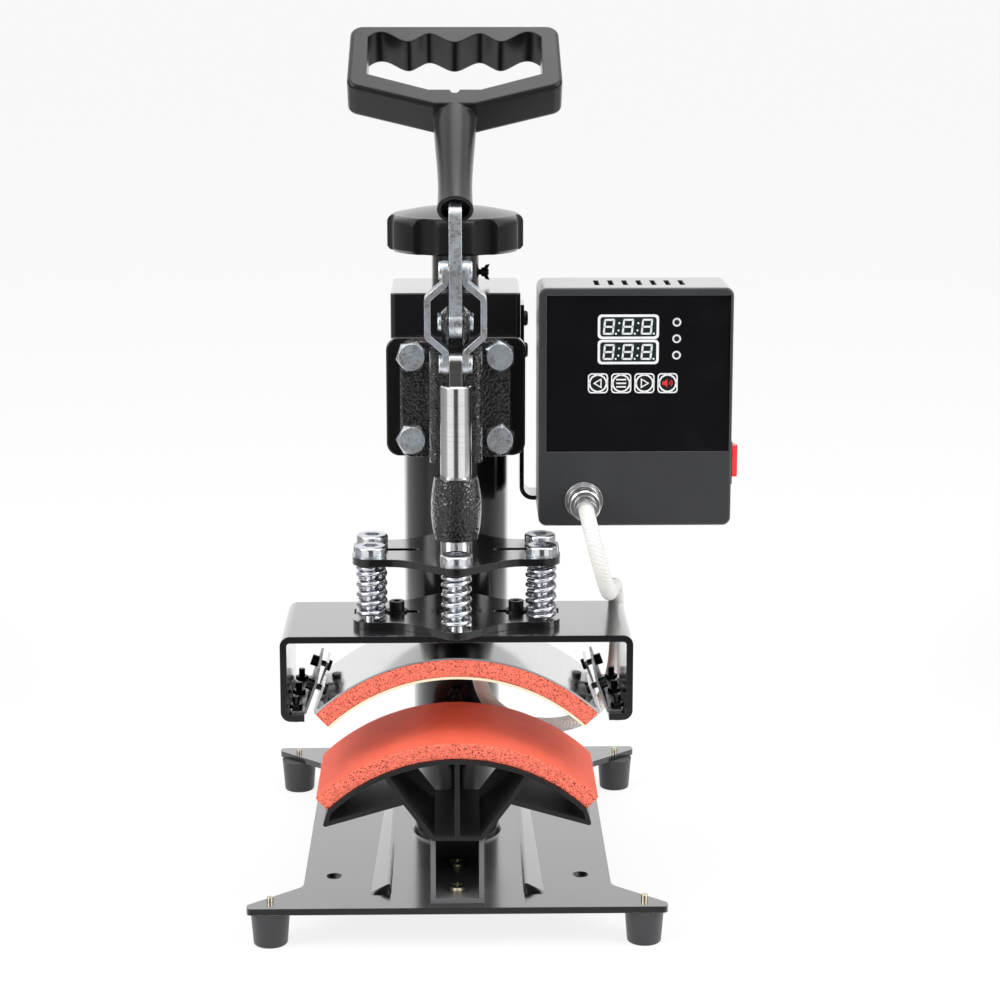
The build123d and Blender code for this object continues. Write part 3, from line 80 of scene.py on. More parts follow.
class PressSpace:
    """Millimetres measured from the toggle's axis, as metres of the shared frame."""

    def __init__(self) -> None:
        """Finds the axis from the plunger, which stands on it."""
        low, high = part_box("plunger_rod")
        self.shift = Vector(((low.x + high.x) / 2, (low.y + high.y) / 2, 0))

    def at(self, x: float, y: float, z: float) -> Vector:
        """Returns the shared frame's point for a point of the press."""
        return Vector((x, y, z)) * MM + self.shift


PRESS = PressSpace()


class Signal:
    """A shader socket that adds Math nodes wherever it stands in an expression."""

    def __init__(self, tree: bpy.types.NodeTree, socket: bpy.types.NodeSocket) -> None:
        """Keeps the socket and the tree that its Math nodes go into."""
        self.tree = tree
        self.socket = socket

    def math(self, operation: str, *values: "Number") -> "Signal":
        """Adds one Math node.

        Args:
            operation: the node's operation.
            values: numbers or signals for its inputs, in order.

        Returns:
            The node's result.
        """
        node = self.tree.nodes.new("ShaderNodeMath")
        node.operation = operation
        for socket, value in zip(node.inputs, values):
            feed(self.tree, socket, value)
        return Signal(self.tree, node.outputs[0])

    def __add__(self, other: "Number") -> "Signal":
        """Returns self + other."""
        return self.math("ADD", self, other)

    def __radd__(self, other: float) -> "Signal":
        """Returns other + self."""
        return self.math("ADD", other, self)

    def __sub__(self, other: "Number") -> "Signal":
        """Returns self - other."""
        return self.math("SUBTRACT", self, other)

    def __rsub__(self, other: float) -> "Signal":
        """Returns other - self."""
        return self.math("SUBTRACT", other, self)

    def __mul__(self, other: "Number") -> "Signal":
        """Returns self * other."""
        return self.math("MULTIPLY", self, other)

    def __rmul__(self, other: float) -> "Signal":
        """Returns other * self."""
        return self.math("MULTIPLY", other, self)

    def __truediv__(self, other: "Number") -> "Signal":
        """Returns self / other."""
        return self.math("DIVIDE", self, other)

    def __pow__(self, other: "Number") -> "Signal":
        """Returns self ** other."""
        return self.math("POWER", self, other)

    def __gt__(self, other: "Number") -> "Signal":
        """Returns 1 where self is above other."""
        return self.math("GREATER_THAN", self, other)

    def __lt__(self, other: "Number") -> "Signal":
        """Returns 1 where self is below other."""
        return self.math("LESS_THAN", self, other)

    def __abs__(self) -> "Signal":
        """Returns the size of self without its sign."""
        return self.math("ABSOLUTE", self)

    def fold(self, length: float) -> "Signal":
        """Returns self folded back and forth over a length."""
        return self.math("PINGPONG", self, length)

    def ramp(self, low: float, high: float) -> "Signal":
        """Returns 0 up to low, 1 from high, and a smooth rise between them."""
        node = self.tree.nodes.new("ShaderNodeMapRange")
        node.interpolation_type = "SMOOTHSTEP"
        for index, value in enumerate((self, low, high)):
            feed(self.tree, node.inputs[index], value)
        return Signal(self.tree, node.outputs[0])


Number = Union[float, Signal]


def feed(tree: bpy.types.NodeTree, socket: bpy.types.NodeSocket, value: object) -> None:
    """Links a signal to a socket, or sets the socket's own value.

    Args:
        tree: the node tree of the material or world.
        socket: the input to feed.
        value: a signal, a number, a colour or a vector.
    """
    if isinstance(value, Signal):
        tree.links.new(value.socket, socket)
    elif socket.type == "RGBA":
        socket.default_value = (*value, 1.0)
    else:
        socket.default_value = value


class Painter:
    """Builds the nodes of one material, or of the world."""

    def __init__(self, name: str, library: str = "materials") -> None:
        """Starts an empty material of that name, or an empty world where the library is "worlds"."""
        self.owner = getattr(bpy.data, library).new(name)
        self.owner.use_nodes = True
        self.tree = self.owner.node_tree
        self.tree.nodes.clear()

    def node(self, kind: str, settings: Optional[Mapping[str, object]] = None,
             inputs: Optional[Mapping[Union[str, int], object]] = None,
             output: Union[str, int] = 0) -> Signal:
        """Adds one node.

        Args:
            kind: the node's type without its ShaderNode prefix.
            settings: the node's own settings, which are set first.
            inputs: values or signals by input name or number.
            output: the name or number of the output to return.

        Returns:
            The chosen output.
        """
        node = self.tree.nodes.new("ShaderNode" + kind)
        for name, value in (settings or {}).items():
            setattr(node, name, value)
        for name, value in (inputs or {}).items():
            feed(self.tree, node.inputs[name], value)
        return Signal(self.tree, node.outputs[output])

    def place(self) -> Signal:
        """Returns the point on the surface, in the shared frame at rest."""
        return self.node("TexCoord", output="Object")

    def part(self, vector: Signal, letter: str) -> Signal:
        """Returns the X, Y or Z of a vector."""
        return self.node("SeparateXYZ", inputs={0: vector}, output=letter)

    def speckle(self, size: float, detail: float, stretch: Triple = (1.0, 1.0, 1.0)) -> Signal:
        """Returns cloud noise.

        Args:
            size: the size of one cloud, in millimetres.
            detail: how many finer octaves it has.
            stretch: how much longer the clouds are along each axis.
        """
        spread = tuple(1.0 / value for value in stretch)
        where = self.node("VectorMath", {"operation": "MULTIPLY"}, {0: self.place(), 1: spread})
        return self.node("TexNoise", inputs={"Vector": where, "Scale": 1.0 / (size * MM), "Detail": detail})

    def cells(self, size: float, feature: str = "F1", output: str = "Distance") -> Signal:
        """Returns a Voronoi pattern with cells of a size in millimetres."""
        return self.node("TexVoronoi", {"feature": feature},
                         {"Vector": self.place(), "Scale": 1.0 / (size * MM)}, output)

    def mix(self, share: Number, first: object, second: object) -> Signal:
        """Returns the first colour where share is 0 and the second where it is 1."""
        return self.node("Mix", {"data_type": "RGBA"}, {0: share, 6: first, 7: second}, 2)

    def relief(self, height: Signal, depth: float, edge: float = 0.0) -> Signal:
        """Returns a bumped normal.

        Args:
            height: the pattern, from 0 to 1.
            depth: the depth of the pattern, in millimetres.
            edge: the radius of softened edges in millimetres, or 0 for none.
        """
        inputs = {"Height": height, "Distance": depth * MM, "Strength": 1.0}
        if edge:
            inputs["Normal"] = self.node("Bevel", {"samples": 6}, {"Radius": edge * MM})
        return self.node("Bump", inputs=inputs)

    def finish(self, inputs: Mapping[str, object], sheen: float = 0.0) -> bpy.types.Material:
        """Ends the material with one surface shader.

        Args:
            inputs: values or signals by the shader's input names.
            sheen: how strongly the surface mirrors at a grazing angle, from 0 to 1.

        Returns:
            The material.
        """
        surface = self.node("BsdfPrincipled", inputs=inputs)
        if sheen:
            normal = inputs["Normal"]
            facing = self.node("LayerWeight", inputs={"Blend": 0.5, "Normal": normal}, output="Facing")
            mirror = self.node("BsdfAnisotropic", inputs={
                "Color": SHEEN_COLOUR, "Roughness": inputs["Roughness"], "Normal": normal})
            share = (facing ** SHEEN_POWER) * sheen
            surface = self.node("MixShader", inputs={0: share, 1: surface, 2: mirror})
        return self.end(surface)

    def end(self, surface: Signal, kind: str = "OutputMaterial") -> bpy.types.ID:
        """Links the last shader to an output node and returns the material or world."""
        out = self.tree.nodes.new("ShaderNode" + kind)
        feed(self.tree, out.inputs["Surface"], surface)
        return self.owner


def shaded(colour: Colour, share: float) -> Colour:
    """Returns a colour with each of its parts multiplied by a share."""
    return tuple(share * part for part in colour)


class Finish(Protocol):
    """Anything that builds its own material."""

    def material(self) -> bpy.types.Material:
        """Builds the material."""


@dataclass(frozen=True)
class PaintedSteel:
    """Powder coat or enamel on steel, with a fine orange peel and a little dust."""

    name: str
    colour: Colour = (0.007, 0.007, 0.008)
    roughness: float = 0.18
    peel_size: float = 1.6
    peel_depth: float = 0.012
    edge: float = 0.6
    sheen: float = 0.95
    gloss: float = 0.32
    handled_size: float = 38.0
    dust_size: float = 2.7
    dust_reach: float = 0.035
    dust_colour: Colour = (0.09, 0.09, 0.09)

    def material(self) -> bpy.types.Material:
        """Builds the paint."""
        p = Painter(self.name)
        peel = p.speckle(self.peel_size, 1.0)
        handled = p.speckle(self.handled_size, 3.0)
        dust = p.cells(self.dust_size) < self.dust_reach
        return p.finish({
            "Base Color": p.mix(dust * 0.25, self.colour, self.dust_colour),
            "Roughness": self.roughness + (handled - 0.5) * 0.12,
            "Specular IOR Level": self.gloss,
            "Normal": p.relief(peel, self.peel_depth, self.edge),
        }, self.sheen)


@dataclass(frozen=True)
class Hammertone:
    """Glossy enamel that has drawn up into dimples."""

    name: str
    colour: Colour = (0.007, 0.007, 0.008)
    raised_colour: Colour = (0.014, 0.014, 0.015)
    roughness: float = 0.12
    dimple: float = 1.5
    depth: float = 0.8
    warp_size: float = 3.0
    edge: float = 0.6
    sheen: float = 0.9

    def material(self) -> bpy.types.Material:
        """Builds the enamel."""
        p = Painter(self.name)
        warp = p.speckle(self.warp_size, 2.0)
        dimples = p.cells(self.dimple, "SMOOTH_F1") * 0.8 + warp * 0.6
        return p.finish({
            "Base Color": p.mix(dimples.ramp(0.3, 1.0), self.colour, self.raised_colour),
            "Roughness": self.roughness + (warp - 0.5) * 0.08,
            "Normal": p.relief(dimples, self.depth, self.edge),
        }, self.sheen)


@dataclass(frozen=True)
class Moulding:
    """Moulded plastic or rubber, with a fine spark-eroded grain."""

    name: str
    colour: Colour = (0.005, 0.005, 0.006)
    roughness: float = 0.3
    grain: float = 0.5
    grain_depth: float = 0.012
    edge: float = 1.3
    sheen: float = 0.45
    gloss: float = 0.15
    flow_size: float = 30.0
    flow_stretch: Triple = (1.0, 1.0, 2.5)
    rubbed: float = 1.35

    def material(self) -> bpy.types.Material:
        """Builds the plastic."""
        p = Painter(self.name)
        grain = p.speckle(self.grain, 3.0)
        flow = p.speckle(self.flow_size, 3.0, self.flow_stretch)
        return p.finish({
            "Base Color": p.mix(flow.ramp(0.42, 0.7) * 0.5, self.colour, shaded(self.colour, self.rubbed)),
            "Roughness": self.roughness + (0.5 - flow) * 0.16 + (grain - 0.5) * 0.06,
            "Specular IOR Level": self.gloss,
            "Normal": p.relief(grain, self.grain_depth, self.edge),
        }, self.sheen)


@dataclass(frozen=True)
class Plating:
    """Plated steel: bright zinc, yellow zinc or nickel, with drawn marks and cloudy tints."""

    name: str
    colour: Colour = (0.62, 0.66, 0.7)
    tint: Colour = (0.52, 0.55, 0.66)
    roughness: float = 0.26
    drawn: Triple = (1.0, 1.0, 6.0)
    scratch: float = 0.02
    edge: float = 0.35
    spangle: float = 0.0
    cloud_size: float = 9.0
    drawn_size: float = 0.45
    flake_size: float = 1.3
    drawn_colour: Colour = (0.3, 0.3, 0.31)

    def material(self) -> bpy.types.Material:
        """Builds the plating."""
        p = Painter(self.name)
        dull = p.speckle(self.cloud_size, 4.0).ramp(0.4, 0.66)
        drawn = p.speckle(self.drawn_size, 3.0, self.drawn)
        flakes = p.node("SeparateColor", inputs={0: p.cells(self.flake_size, "F1", "Color")})
        colour = p.mix(dull * 0.8, self.colour, self.tint)
        colour = p.mix(flakes.ramp(0.45, 1.0) * self.spangle, colour, shaded(self.tint, 0.5))
        uneven = dull * 0.12 + (drawn - 0.5) * 0.12 + (flakes - 0.5) * (0.3 * self.spangle)
        return p.finish({
            "Base Color": p.mix(drawn.ramp(0.55, 0.8) * 0.25, colour, self.drawn_colour),
            "Metallic": 1.0,
            "Roughness": self.roughness + uneven,
            "Normal": p.relief(drawn, self.scratch, self.edge),
        })


@dataclass(frozen=True)
class TurnedSteel:
    """Ground round bar, with fine rings from the grinding wheel."""

    name: str
    colour: Colour = (0.74, 0.74, 0.75)
    ring_colour: Colour = (0.42, 0.42, 0.43)
    roughness: float = 0.12
    ring_size: float = 0.5
    ring_stretch: Triple = (40.0, 40.0, 1.0)
    band_size: float = 5.0
    band_stretch: Triple = (30.0, 30.0, 1.0)

    def material(self) -> bpy.types.Material:
        """Builds the steel."""
        p = Painter(self.name)
        rings = p.speckle(self.ring_size, 3.0, self.ring_stretch)
        bands = p.speckle(self.band_size, 2.0, self.band_stretch)
        return p.finish({
            "Base Color": p.mix(rings.ramp(0.45, 0.75) * 0.35, self.colour, self.ring_colour),
            "Metallic": 1.0,
            "Roughness": self.roughness + bands * 0.12,
            "Normal": p.relief(rings, 0.008, 0.4),
        })


@dataclass(frozen=True)
class MirrorSheet:
    """Bright rolled sheet, with a faint waviness."""

    name: str
    colour: Colour = (0.74, 0.74, 0.75)
    line_colour: Colour = (0.5, 0.5, 0.51)
    roughness: float = 0.09
    wave_size: float = 24.0
    line_size: float = 0.35

    def material(self) -> bpy.types.Material:
        """Builds the sheet."""
        p = Painter(self.name)
        wave = p.speckle(self.wave_size, 2.0, (1.0, 3.0, 1.0))
        lines = p.speckle(self.line_size, 2.0, (1.0, 60.0, 1.0))
        return p.finish({
            "Base Color": p.mix(lines.ramp(0.5, 0.8) * 0.3, self.colour, self.line_colour),
            "Metallic": 1.0,
            "Roughness": self.roughness + lines * 0.06,
            "Normal": p.relief(wave, 0.03),
        })


@dataclass(frozen=True)
class Sponge:
    """Silicone sponge: a smooth skin on its two broad faces and open pores on its cut faces."""

    name: str
    colour: Colour = (0.8, 0.125, 0.07)
    cut_colour: Colour = (0.92, 0.185, 0.12)
    roughness: float = 0.62
    wide_pore: float = 1.95
    small_pore: float = 0.9
    cloud_size: float = 14.0
    depth: float = 0.25

    def material(self) -> bpy.types.Material:
        """Builds the sponge."""
        p = Painter(self.name)
        cut = abs(p.part(p.node("NewGeometry", output="Normal"), "Y")).ramp(0.5, 0.9)
        holes = self._holes(p, self.wide_pore, 0.4, 0.7) + self._holes(p, self.small_pore, 0.5, 0.25)
        fine = p.speckle(0.9, 4.0)
        broad = p.speckle(self.cloud_size, 3.0)
        holes = (holes + fine.ramp(0.48, 0.64) * 0.55) * (0.03 + cut * 0.97)
        shade = p.mix(broad.ramp(0.35, 0.7) * 0.5, self.colour, shaded(self.colour, 0.84))
        shade = p.mix(cut, shade, self.cut_colour)
        return p.finish({
            # The pores and the fine mottle are darkened: painted shade in the pore hollows.
            "Base Color": p.mix(holes * 0.75, shade, shaded(self.colour, 0.28)),
            "Roughness": self.roughness + cut * 0.2 + (fine - 0.5) * 0.1,
            "Specular IOR Level": 0.35,
            "Normal": p.relief(fine * (0.3 + cut * 0.7) - holes, self.depth),
        })

    @staticmethod
    def _holes(p: Painter, size: float, width: float, rarity: float) -> Signal:
        """Returns round pores in some of the cells.

        Args:
            p: the sponge's painter.
            size: the size of one cell, in millimetres.
            width: how far a pore fills its cell.
            rarity: the share of cells without a pore.
        """
        chance = p.node("SeparateColor", inputs={0: p.cells(size, "F1", "Color")})
        return (1 - p.cells(size).ramp(width * 0.5, width)) * chance.ramp(rarity, rarity + 0.1)


@dataclass(frozen=True)
class BraidedSleeve:
    """Glass-fibre sleeving: two sets of flat yarns that cross each other along the cable."""

    name: str
    colour: Colour = (0.86, 0.85, 0.82)
    roughness: float = 0.7
    strands: int = 12
    pitch: float = 14.0
    fuzz_size: float = 0.4
    grime_size: float = 16.0
    depth: float = 0.3

    def material(self) -> bpy.types.Material:
        """Builds the sleeving on the cable's own round and along coordinates."""
        p = Painter(self.name)
        uv = p.node("TexCoord", output="UV")
        around = p.part(uv, "X") * self.strands
        along = p.part(uv, "Y") * (self.strands / (self.pitch * MM))
        right = (around + along).fold(0.5) * 2
        left = (around - along).fold(0.5) * 2
        over = ((around + along) * 0.5).fold(0.5) > 0.25
        yarn = right * over + left * (1 - over)
        fuzz = p.speckle(self.fuzz_size, 3.0)
        grime = p.speckle(self.grime_size, 3.0)
        # Darker towards each yarn's edges: painted shade in the grooves between the yarns.
        shade = p.mix(yarn.ramp(0.0, 0.55), shaded(self.colour, 0.6), self.colour)
        return p.finish({
            "Base Color": p.mix(grime.ramp(0.4, 0.75) * 0.35, shade, shaded(self.colour, 0.78)),
            "Roughness": self.roughness + (fuzz - 0.5) * 0.2,
            "Normal": p.relief(yarn * 0.8 + fuzz * 0.3, self.depth),
        })


@dataclass(frozen=True)
class GlossFace:
    """A printed or moulded face with a polished surface and faint handling marks."""

    name: str
    colour: Colour
    roughness: float = 0.08
    # Emission strength; on the red print it is a painted glow.
    glow: float = 0.0
    edge: float = 0.2
    smear_size: float = 22.0
    grain_size: float = 0.8

    def material(self) -> bpy.types.Material:
        """Builds the face."""
        p = Painter(self.name)
        smear = p.speckle(self.smear_size, 4.0)
        grain = p.speckle(self.grain_size, 2.0)
        smeared = tuple(min(1.0, part + 0.002) for part in shaded(self.colour, 1.25))
        inputs = {
            "Base Color": p.mix(smear.ramp(0.4, 0.8) * 0.3, self.colour, smeared),
            "Roughness": self.roughness + smear.ramp(0.45, 0.8) * 0.1,
            "Normal": p.relief(grain, 0.003, self.edge),
        }
        if self.glow:
            inputs["Emission Color"] = self.colour
            inputs["Emission Strength"] = self.glow
        return p.finish(inputs)


FINE_PEEL: Mapping[str, float] = {"peel_size": 0.9, "peel_depth": 0.01, "edge": 0.4}

FINISHES: Mapping[str, Finish] = {
    "black_gloss": PaintedSteel("black powder coat"),
    "black_satin": PaintedSteel("satin black coat", (0.014, 0.014, 0.015), 0.38, sheen=0.25, **FINE_PEEL),
    # The channel's coat is a light grey copy of the black paint: painted light on its shaded inside.
    "channel_painted_light": PaintedSteel("black coat lightened as painted light", (0.13, 0.13, 0.135), 0.4, sheen=0.3, **FINE_PEEL),
    "platen_coat": PaintedSteel("matt black coat", (0.006, 0.006, 0.007), 0.42, sheen=0.12, **FINE_PEEL),
    "dull_plate": Plating("dull plate", (0.3, 0.3, 0.31), (0.2, 0.2, 0.21), 0.3),
    "black_screw": Plating("black oxide", (0.035, 0.036, 0.04), (0.02, 0.02, 0.022), 0.3),
    "hammertone": Hammertone("black hammertone"),
    "black_plastic": Moulding("black moulding"),
    "black_case": Moulding("case moulding", (0.028, 0.029, 0.031), 0.4,
                           grain=0.7, grain_depth=0.03, edge=0.7, sheen=0.85, gloss=0.4),
    "foot_rubber": Moulding("foot rubber", (0.04, 0.041, 0.043), 0.5,
                            grain=0.8, grain_depth=0.03, edge=0.8, sheen=0.2, gloss=0.3),
    "panel_gloss": GlossFace("panel face", (0.004, 0.004, 0.005)),
    "display": GlossFace("display window", (0.014, 0.019, 0.02), 0.12),
    "print_white": GlossFace("white print", (0.72, 0.73, 0.74), 0.3),
    "key_face": GlossFace("key face", (0.012, 0.012, 0.013), 0.16),
    "red_rocker": GlossFace("red rocker", (0.72, 0.012, 0.012), 0.14, glow=0.12),
    "yellow_zinc": Plating("yellow zinc", (0.66, 0.6, 0.44), (0.55, 0.5, 0.4), 0.22),
    "zinc": Plating("bright zinc", (0.78, 0.81, 0.83), (0.5, 0.55, 0.62), 0.32,
                    drawn=(1.0, 1.0, 3.0), scratch=0.03, edge=0.45, spangle=0.45),
    "steel": TurnedSteel("ground steel"),
    "spring_chrome": Plating("bright nickel", (0.7, 0.72, 0.75), (0.6, 0.62, 0.66), 0.14,
                             drawn=(1.0, 1.0, 1.0), scratch=0.006),
    "mirror_steel": MirrorSheet("mirror sheet"),
    "sponge": Sponge("silicone sponge"),
    "cream_film": GlossFace("cream film", (0.78, 0.66, 0.48), 0.35),
    "cream_sleeve": BraidedSleeve("braided sleeve"),
    # glow=0.1 is a painted glow: the red print is no lamp.
    "red_print": GlossFace("red print", (0.62, 0.02, 0.03), 0.3, glow=0.1),
}

NODE_FINISHES: Mapping[str, str] = {
    "platen": "platen_coat",
    # The channel takes the lightened black coat, which is painted light.
    "platen_channel": "channel_painted_light",
    "tension_clips": "dull_plate",
}


class Workshop:
    """Makes each finish once and hands it out."""

    def __init__(self) -> None:
        """Starts with no material made."""
        self._made: dict[str, bpy.types.Material] = {}

    def material(self, slot: str) -> bpy.types.Material:
        """Returns the material for a finish, built on first use."""
        if slot not in self._made:
            self._made[slot] = FINISHES[slot].material()
        return self._made[slot]

    def dress(self, piece: bpy.types.Object, slot: str) -> bpy.types.Object:
        """Gives a piece one finish."""
        piece.data.materials.clear()
        piece.data.materials.append(self.material(slot))
        return piece

    def dress_nodes(self) -> None:
        """Gives every carried-over CAD node its own finish, or else that of its record slot."""
        for row in frame["record"]["subparts"]:
            node = frame["nodes"][row["node"]]
            if not node.hide_render:
                self.dress(node, NODE_FINISHES.get(row["node"], row["material_slot"]))


WORKSHOP = Workshop()


def new_mesh(name: str, points: Sequence[Point], faces: Sequence[Sequence[int]],
             smooth: bool = True) -> bpy.types.Object:
    """Makes a mesh object whose place is in its vertices.

    Args:
        name: the piece's name.
        points: the vertices, in metres.
        faces: the vertex numbers of each face.
        smooth: whether the faces are shaded smooth.

    Returns:
        The object, linked to the scene.
    """
    mesh = bpy.data.meshes.new(name)
    mesh.from_pydata([tuple(p) for p in points], [], [tuple(f) for f in faces])
    mesh.validate()
    for polygon in mesh.polygons:
        polygon.use_smooth = smooth
    piece = bpy.data.objects.new(name, mesh)
    bpy.context.scene.collection.objects.link(piece)
    return piece


def mount(piece: bpy.types.Object, body: str, slot: str, replaced: Sequence[str] = (),
          finish: str = "") -> bpy.types.Object:
    """Dresses a piece, hides the nodes that it stands for and puts it on a body.

    Args:
        piece: the new piece.
        body: the CAD body that carries it.
        slot: the record's material slot.
        replaced: names of CAD nodes.
        finish: the finish to show, where it isn't the slot's own.

    Returns:
        The piece.
    """
    WORKSHOP.dress(piece, finish or slot)
    if replaced:
        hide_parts(*replaced)
    LOG.info("%s rides on %s", piece.name, body)
    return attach(piece, body)


@dataclass
class Tube:
    """A round tube along a line of points, with round and along coordinates."""

    radius: float
    sides: int

    def rings(self, line: Sequence[Vector]) -> list[list[Vector]]:
        """Returns one ring of points for each point of the line, without twist."""
        heading = (line[1] - line[0]).normalized()
        side = heading.orthogonal().normalized()
        made = []
        for index, point in enumerate(line):
            after = line[min(index + 1, len(line) - 1)]
            before = line[max(index - 1, 0)]
            turned = (after - before).normalized()
            side = heading.rotation_difference(turned) @ side
            side = (side - turned * side.dot(turned)).normalized()
            other = turned.cross(side)
            heading = turned
            made.append([point + (side * math.cos(a) + other * math.sin(a)) * self.radius
                         for a in self._angles()])
        return made

    def _angles(self) -> list[float]:
        """Returns the angles of a ring's points."""
        return [2 * math.pi * i / self.sides for i in range(self.sides)]

    def build(self, name: str, lines: Iterable[Sequence[Vector]]) -> bpy.types.Object:
        """Makes one piece with a capped tube along each line.

        Args:
            name: the piece's name.
            lines: the centre lines, in metres.

        Returns:
            The piece, with its coordinates in a layer named Run.
        """
        points, faces, marks = [], [], []
        for line in lines:
            run = self.rings(line)
            first = len(points)
            length = 0.0
            for index, ring in enumerate(run):
                length += (line[index] - line[index - 1]).length if index else 0.0
                points += ring
                marks.append(length)
            for ring in range(len(run) - 1):
                for side in range(self.sides):
                    a = first + ring * self.sides + side
                    b = first + ring * self.sides + (side + 1) % self.sides
                    faces.append((a, b, b + self.sides, a + self.sides))
            faces.append([first + side for side in reversed(range(self.sides))])
            faces.append([first + (len(run) - 1) * self.sides + side for side in range(self.sides)])
        piece = new_mesh(name, points, faces)
        self._lay_run(piece, marks)
        return piece

    def _lay_run(self, piece: bpy.types.Object, marks: Sequence[float]) -> None:
        """Writes the round and along coordinates of every face corner."""
        layer = piece.data.uv_layers.new(name="Run")
        for polygon in piece.data.polygons:
            corners = [(i, piece.data.loops[i].vertex_index) for i in polygon.loop_indices]
            rounds = [vertex % self.sides for _, vertex in corners]
            wraps = max(rounds) - min(rounds) > self.sides // 2
            for (loop, vertex), step in zip(corners, rounds):
                turn = step + self.sides if wraps and step == 0 else step
                layer.data[loop].uv = (turn / self.sides, marks[vertex // self.sides])


@dataclass
class HeaterCable:
    """The sleeved cable from the control box to the heater, without its screwed plug."""

    diameter: float = 9.3
    length: float = 0.354
    sides: int = 24
    route: Sequence[tuple[float, float, float]] = (
        (77.5, -14.0, 259.0), (77.5, -31.5, 259.0), (81.0, -45.0, 245.5), (86.0, -45.0, 226.5),
        (90.0, -31.5, 213.0), (93.0, -8.0, 209.0), (96.0, 17.0, 206.0), (98.5, 39.0, 200.0),
        (100.5, 53.0, 185.0), (101.5, 58.5, 163.0), (100.0, 59.0, 139.0), (92.5, 58.0, 118.0),
        (76.0, 56.5, 106.0), (54.0, 54.5, 104.0), (33.0, 51.5, 110.0), (18.5, 48.0, 123.5),
        (13.0, 44.5, 141.5), (13.0, 44.5, 160.0),
    )

    def line(self) -> list[Vector]:
        """Returns close points along the route's smooth spline."""
        data = bpy.data.curves.new("cable_line", "CURVE")
        data.dimensions = "3D"
        data.resolution_u = 12
        spline = data.splines.new("NURBS")
        spline.points.add(len(self.route) - 1)
        for point, place in zip(spline.points, self.route):
            point.co = (*PRESS.at(*place), 1.0)
        spline.order_u = 3
        spline.use_endpoint_u = True
        guide = bpy.data.objects.new("cable_line", data)
        mesh = bpy.data.meshes.new_from_object(guide)
        points = [vertex.co.copy() for vertex in mesh.vertices]
        bpy.data.objects.remove(guide)
        bpy.data.meshes.remove(mesh)
        bpy.data.curves.remove(data)
        return [p for i, p in enumerate(points) if i == 0 or (p - points[i - 1]).length > SAME_POINT]

    def build(self) -> bpy.types.Object:
        """Makes the cable along its bent route between the head and the plunger."""
        line = self.line()
        cable = Tube(self.diameter / 2 * MM, self.sides).build("braided_cable", [line])
        WORKSHOP.dress(cable, "cream_sleeve")
        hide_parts("heater_cable")
        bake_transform(cable)
        LOG.info("braided_cable bends between head and plunger")
        return cable


@dataclass
class SpringSet:
    """The six coil springs between the two spring plates."""

    coil_radius: float = 7.5
    wire: float = 3.0
    turns: int = 6
    dead_turns: float = 1.0
    steps: int = 36
    sides: int = 12
    turn_gap: float = 0.1
    start_spread: float = 0.6
    travel: float = 3.4
    places: Sequence[tuple[float, float]] = (
        (0.0, -38.0), (0.0, 38.0), (-51.0, -14.6), (-51.0, 14.6), (51.0, -14.6), (51.0, 14.6))

    def height(self, turn: float, low: float, high: float) -> float:
        """Returns the wire's height after some turns; the end turns lie closed."""
        closed = (self.wire + self.turn_gap) * MM
        free = (high - low - 2 * self.dead_turns * closed) / (self.turns - 2 * self.dead_turns)
        first = min(turn, self.dead_turns) * closed
        last = max(turn - (self.turns - self.dead_turns), 0.0) * closed
        middle = min(max(turn - self.dead_turns, 0.0), self.turns - 2 * self.dead_turns)
        return low + first + middle * free + last

    def build(self) -> bpy.types.Object:
        """Makes the springs, which ride on the plunger."""
        low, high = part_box("springs")
        floor, ceiling = low.z + self.wire / 2 * MM, high.z - self.wire / 2 * MM
        lines = []
        for x, y in self.places:
            line = []
            for step in range(self.turns * self.steps + 1):
                angle = 2 * math.pi * step / self.steps
                z = self.height(step / self.steps, floor, ceiling)
                start = self.start_spread * x + y
                flat = PRESS.at(x + self.coil_radius * math.cos(angle + start),
                                y + self.coil_radius * math.sin(angle + start), 0)
                line.append(Vector((flat.x, flat.y, z)))
            lines.append(line)
        coils = Tube(self.wire / 2 * MM, self.sides).build("wound_springs", lines)
        springs = mount(coils, "plunger", "spring_chrome", ["springs"])
        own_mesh(springs)
        return springs


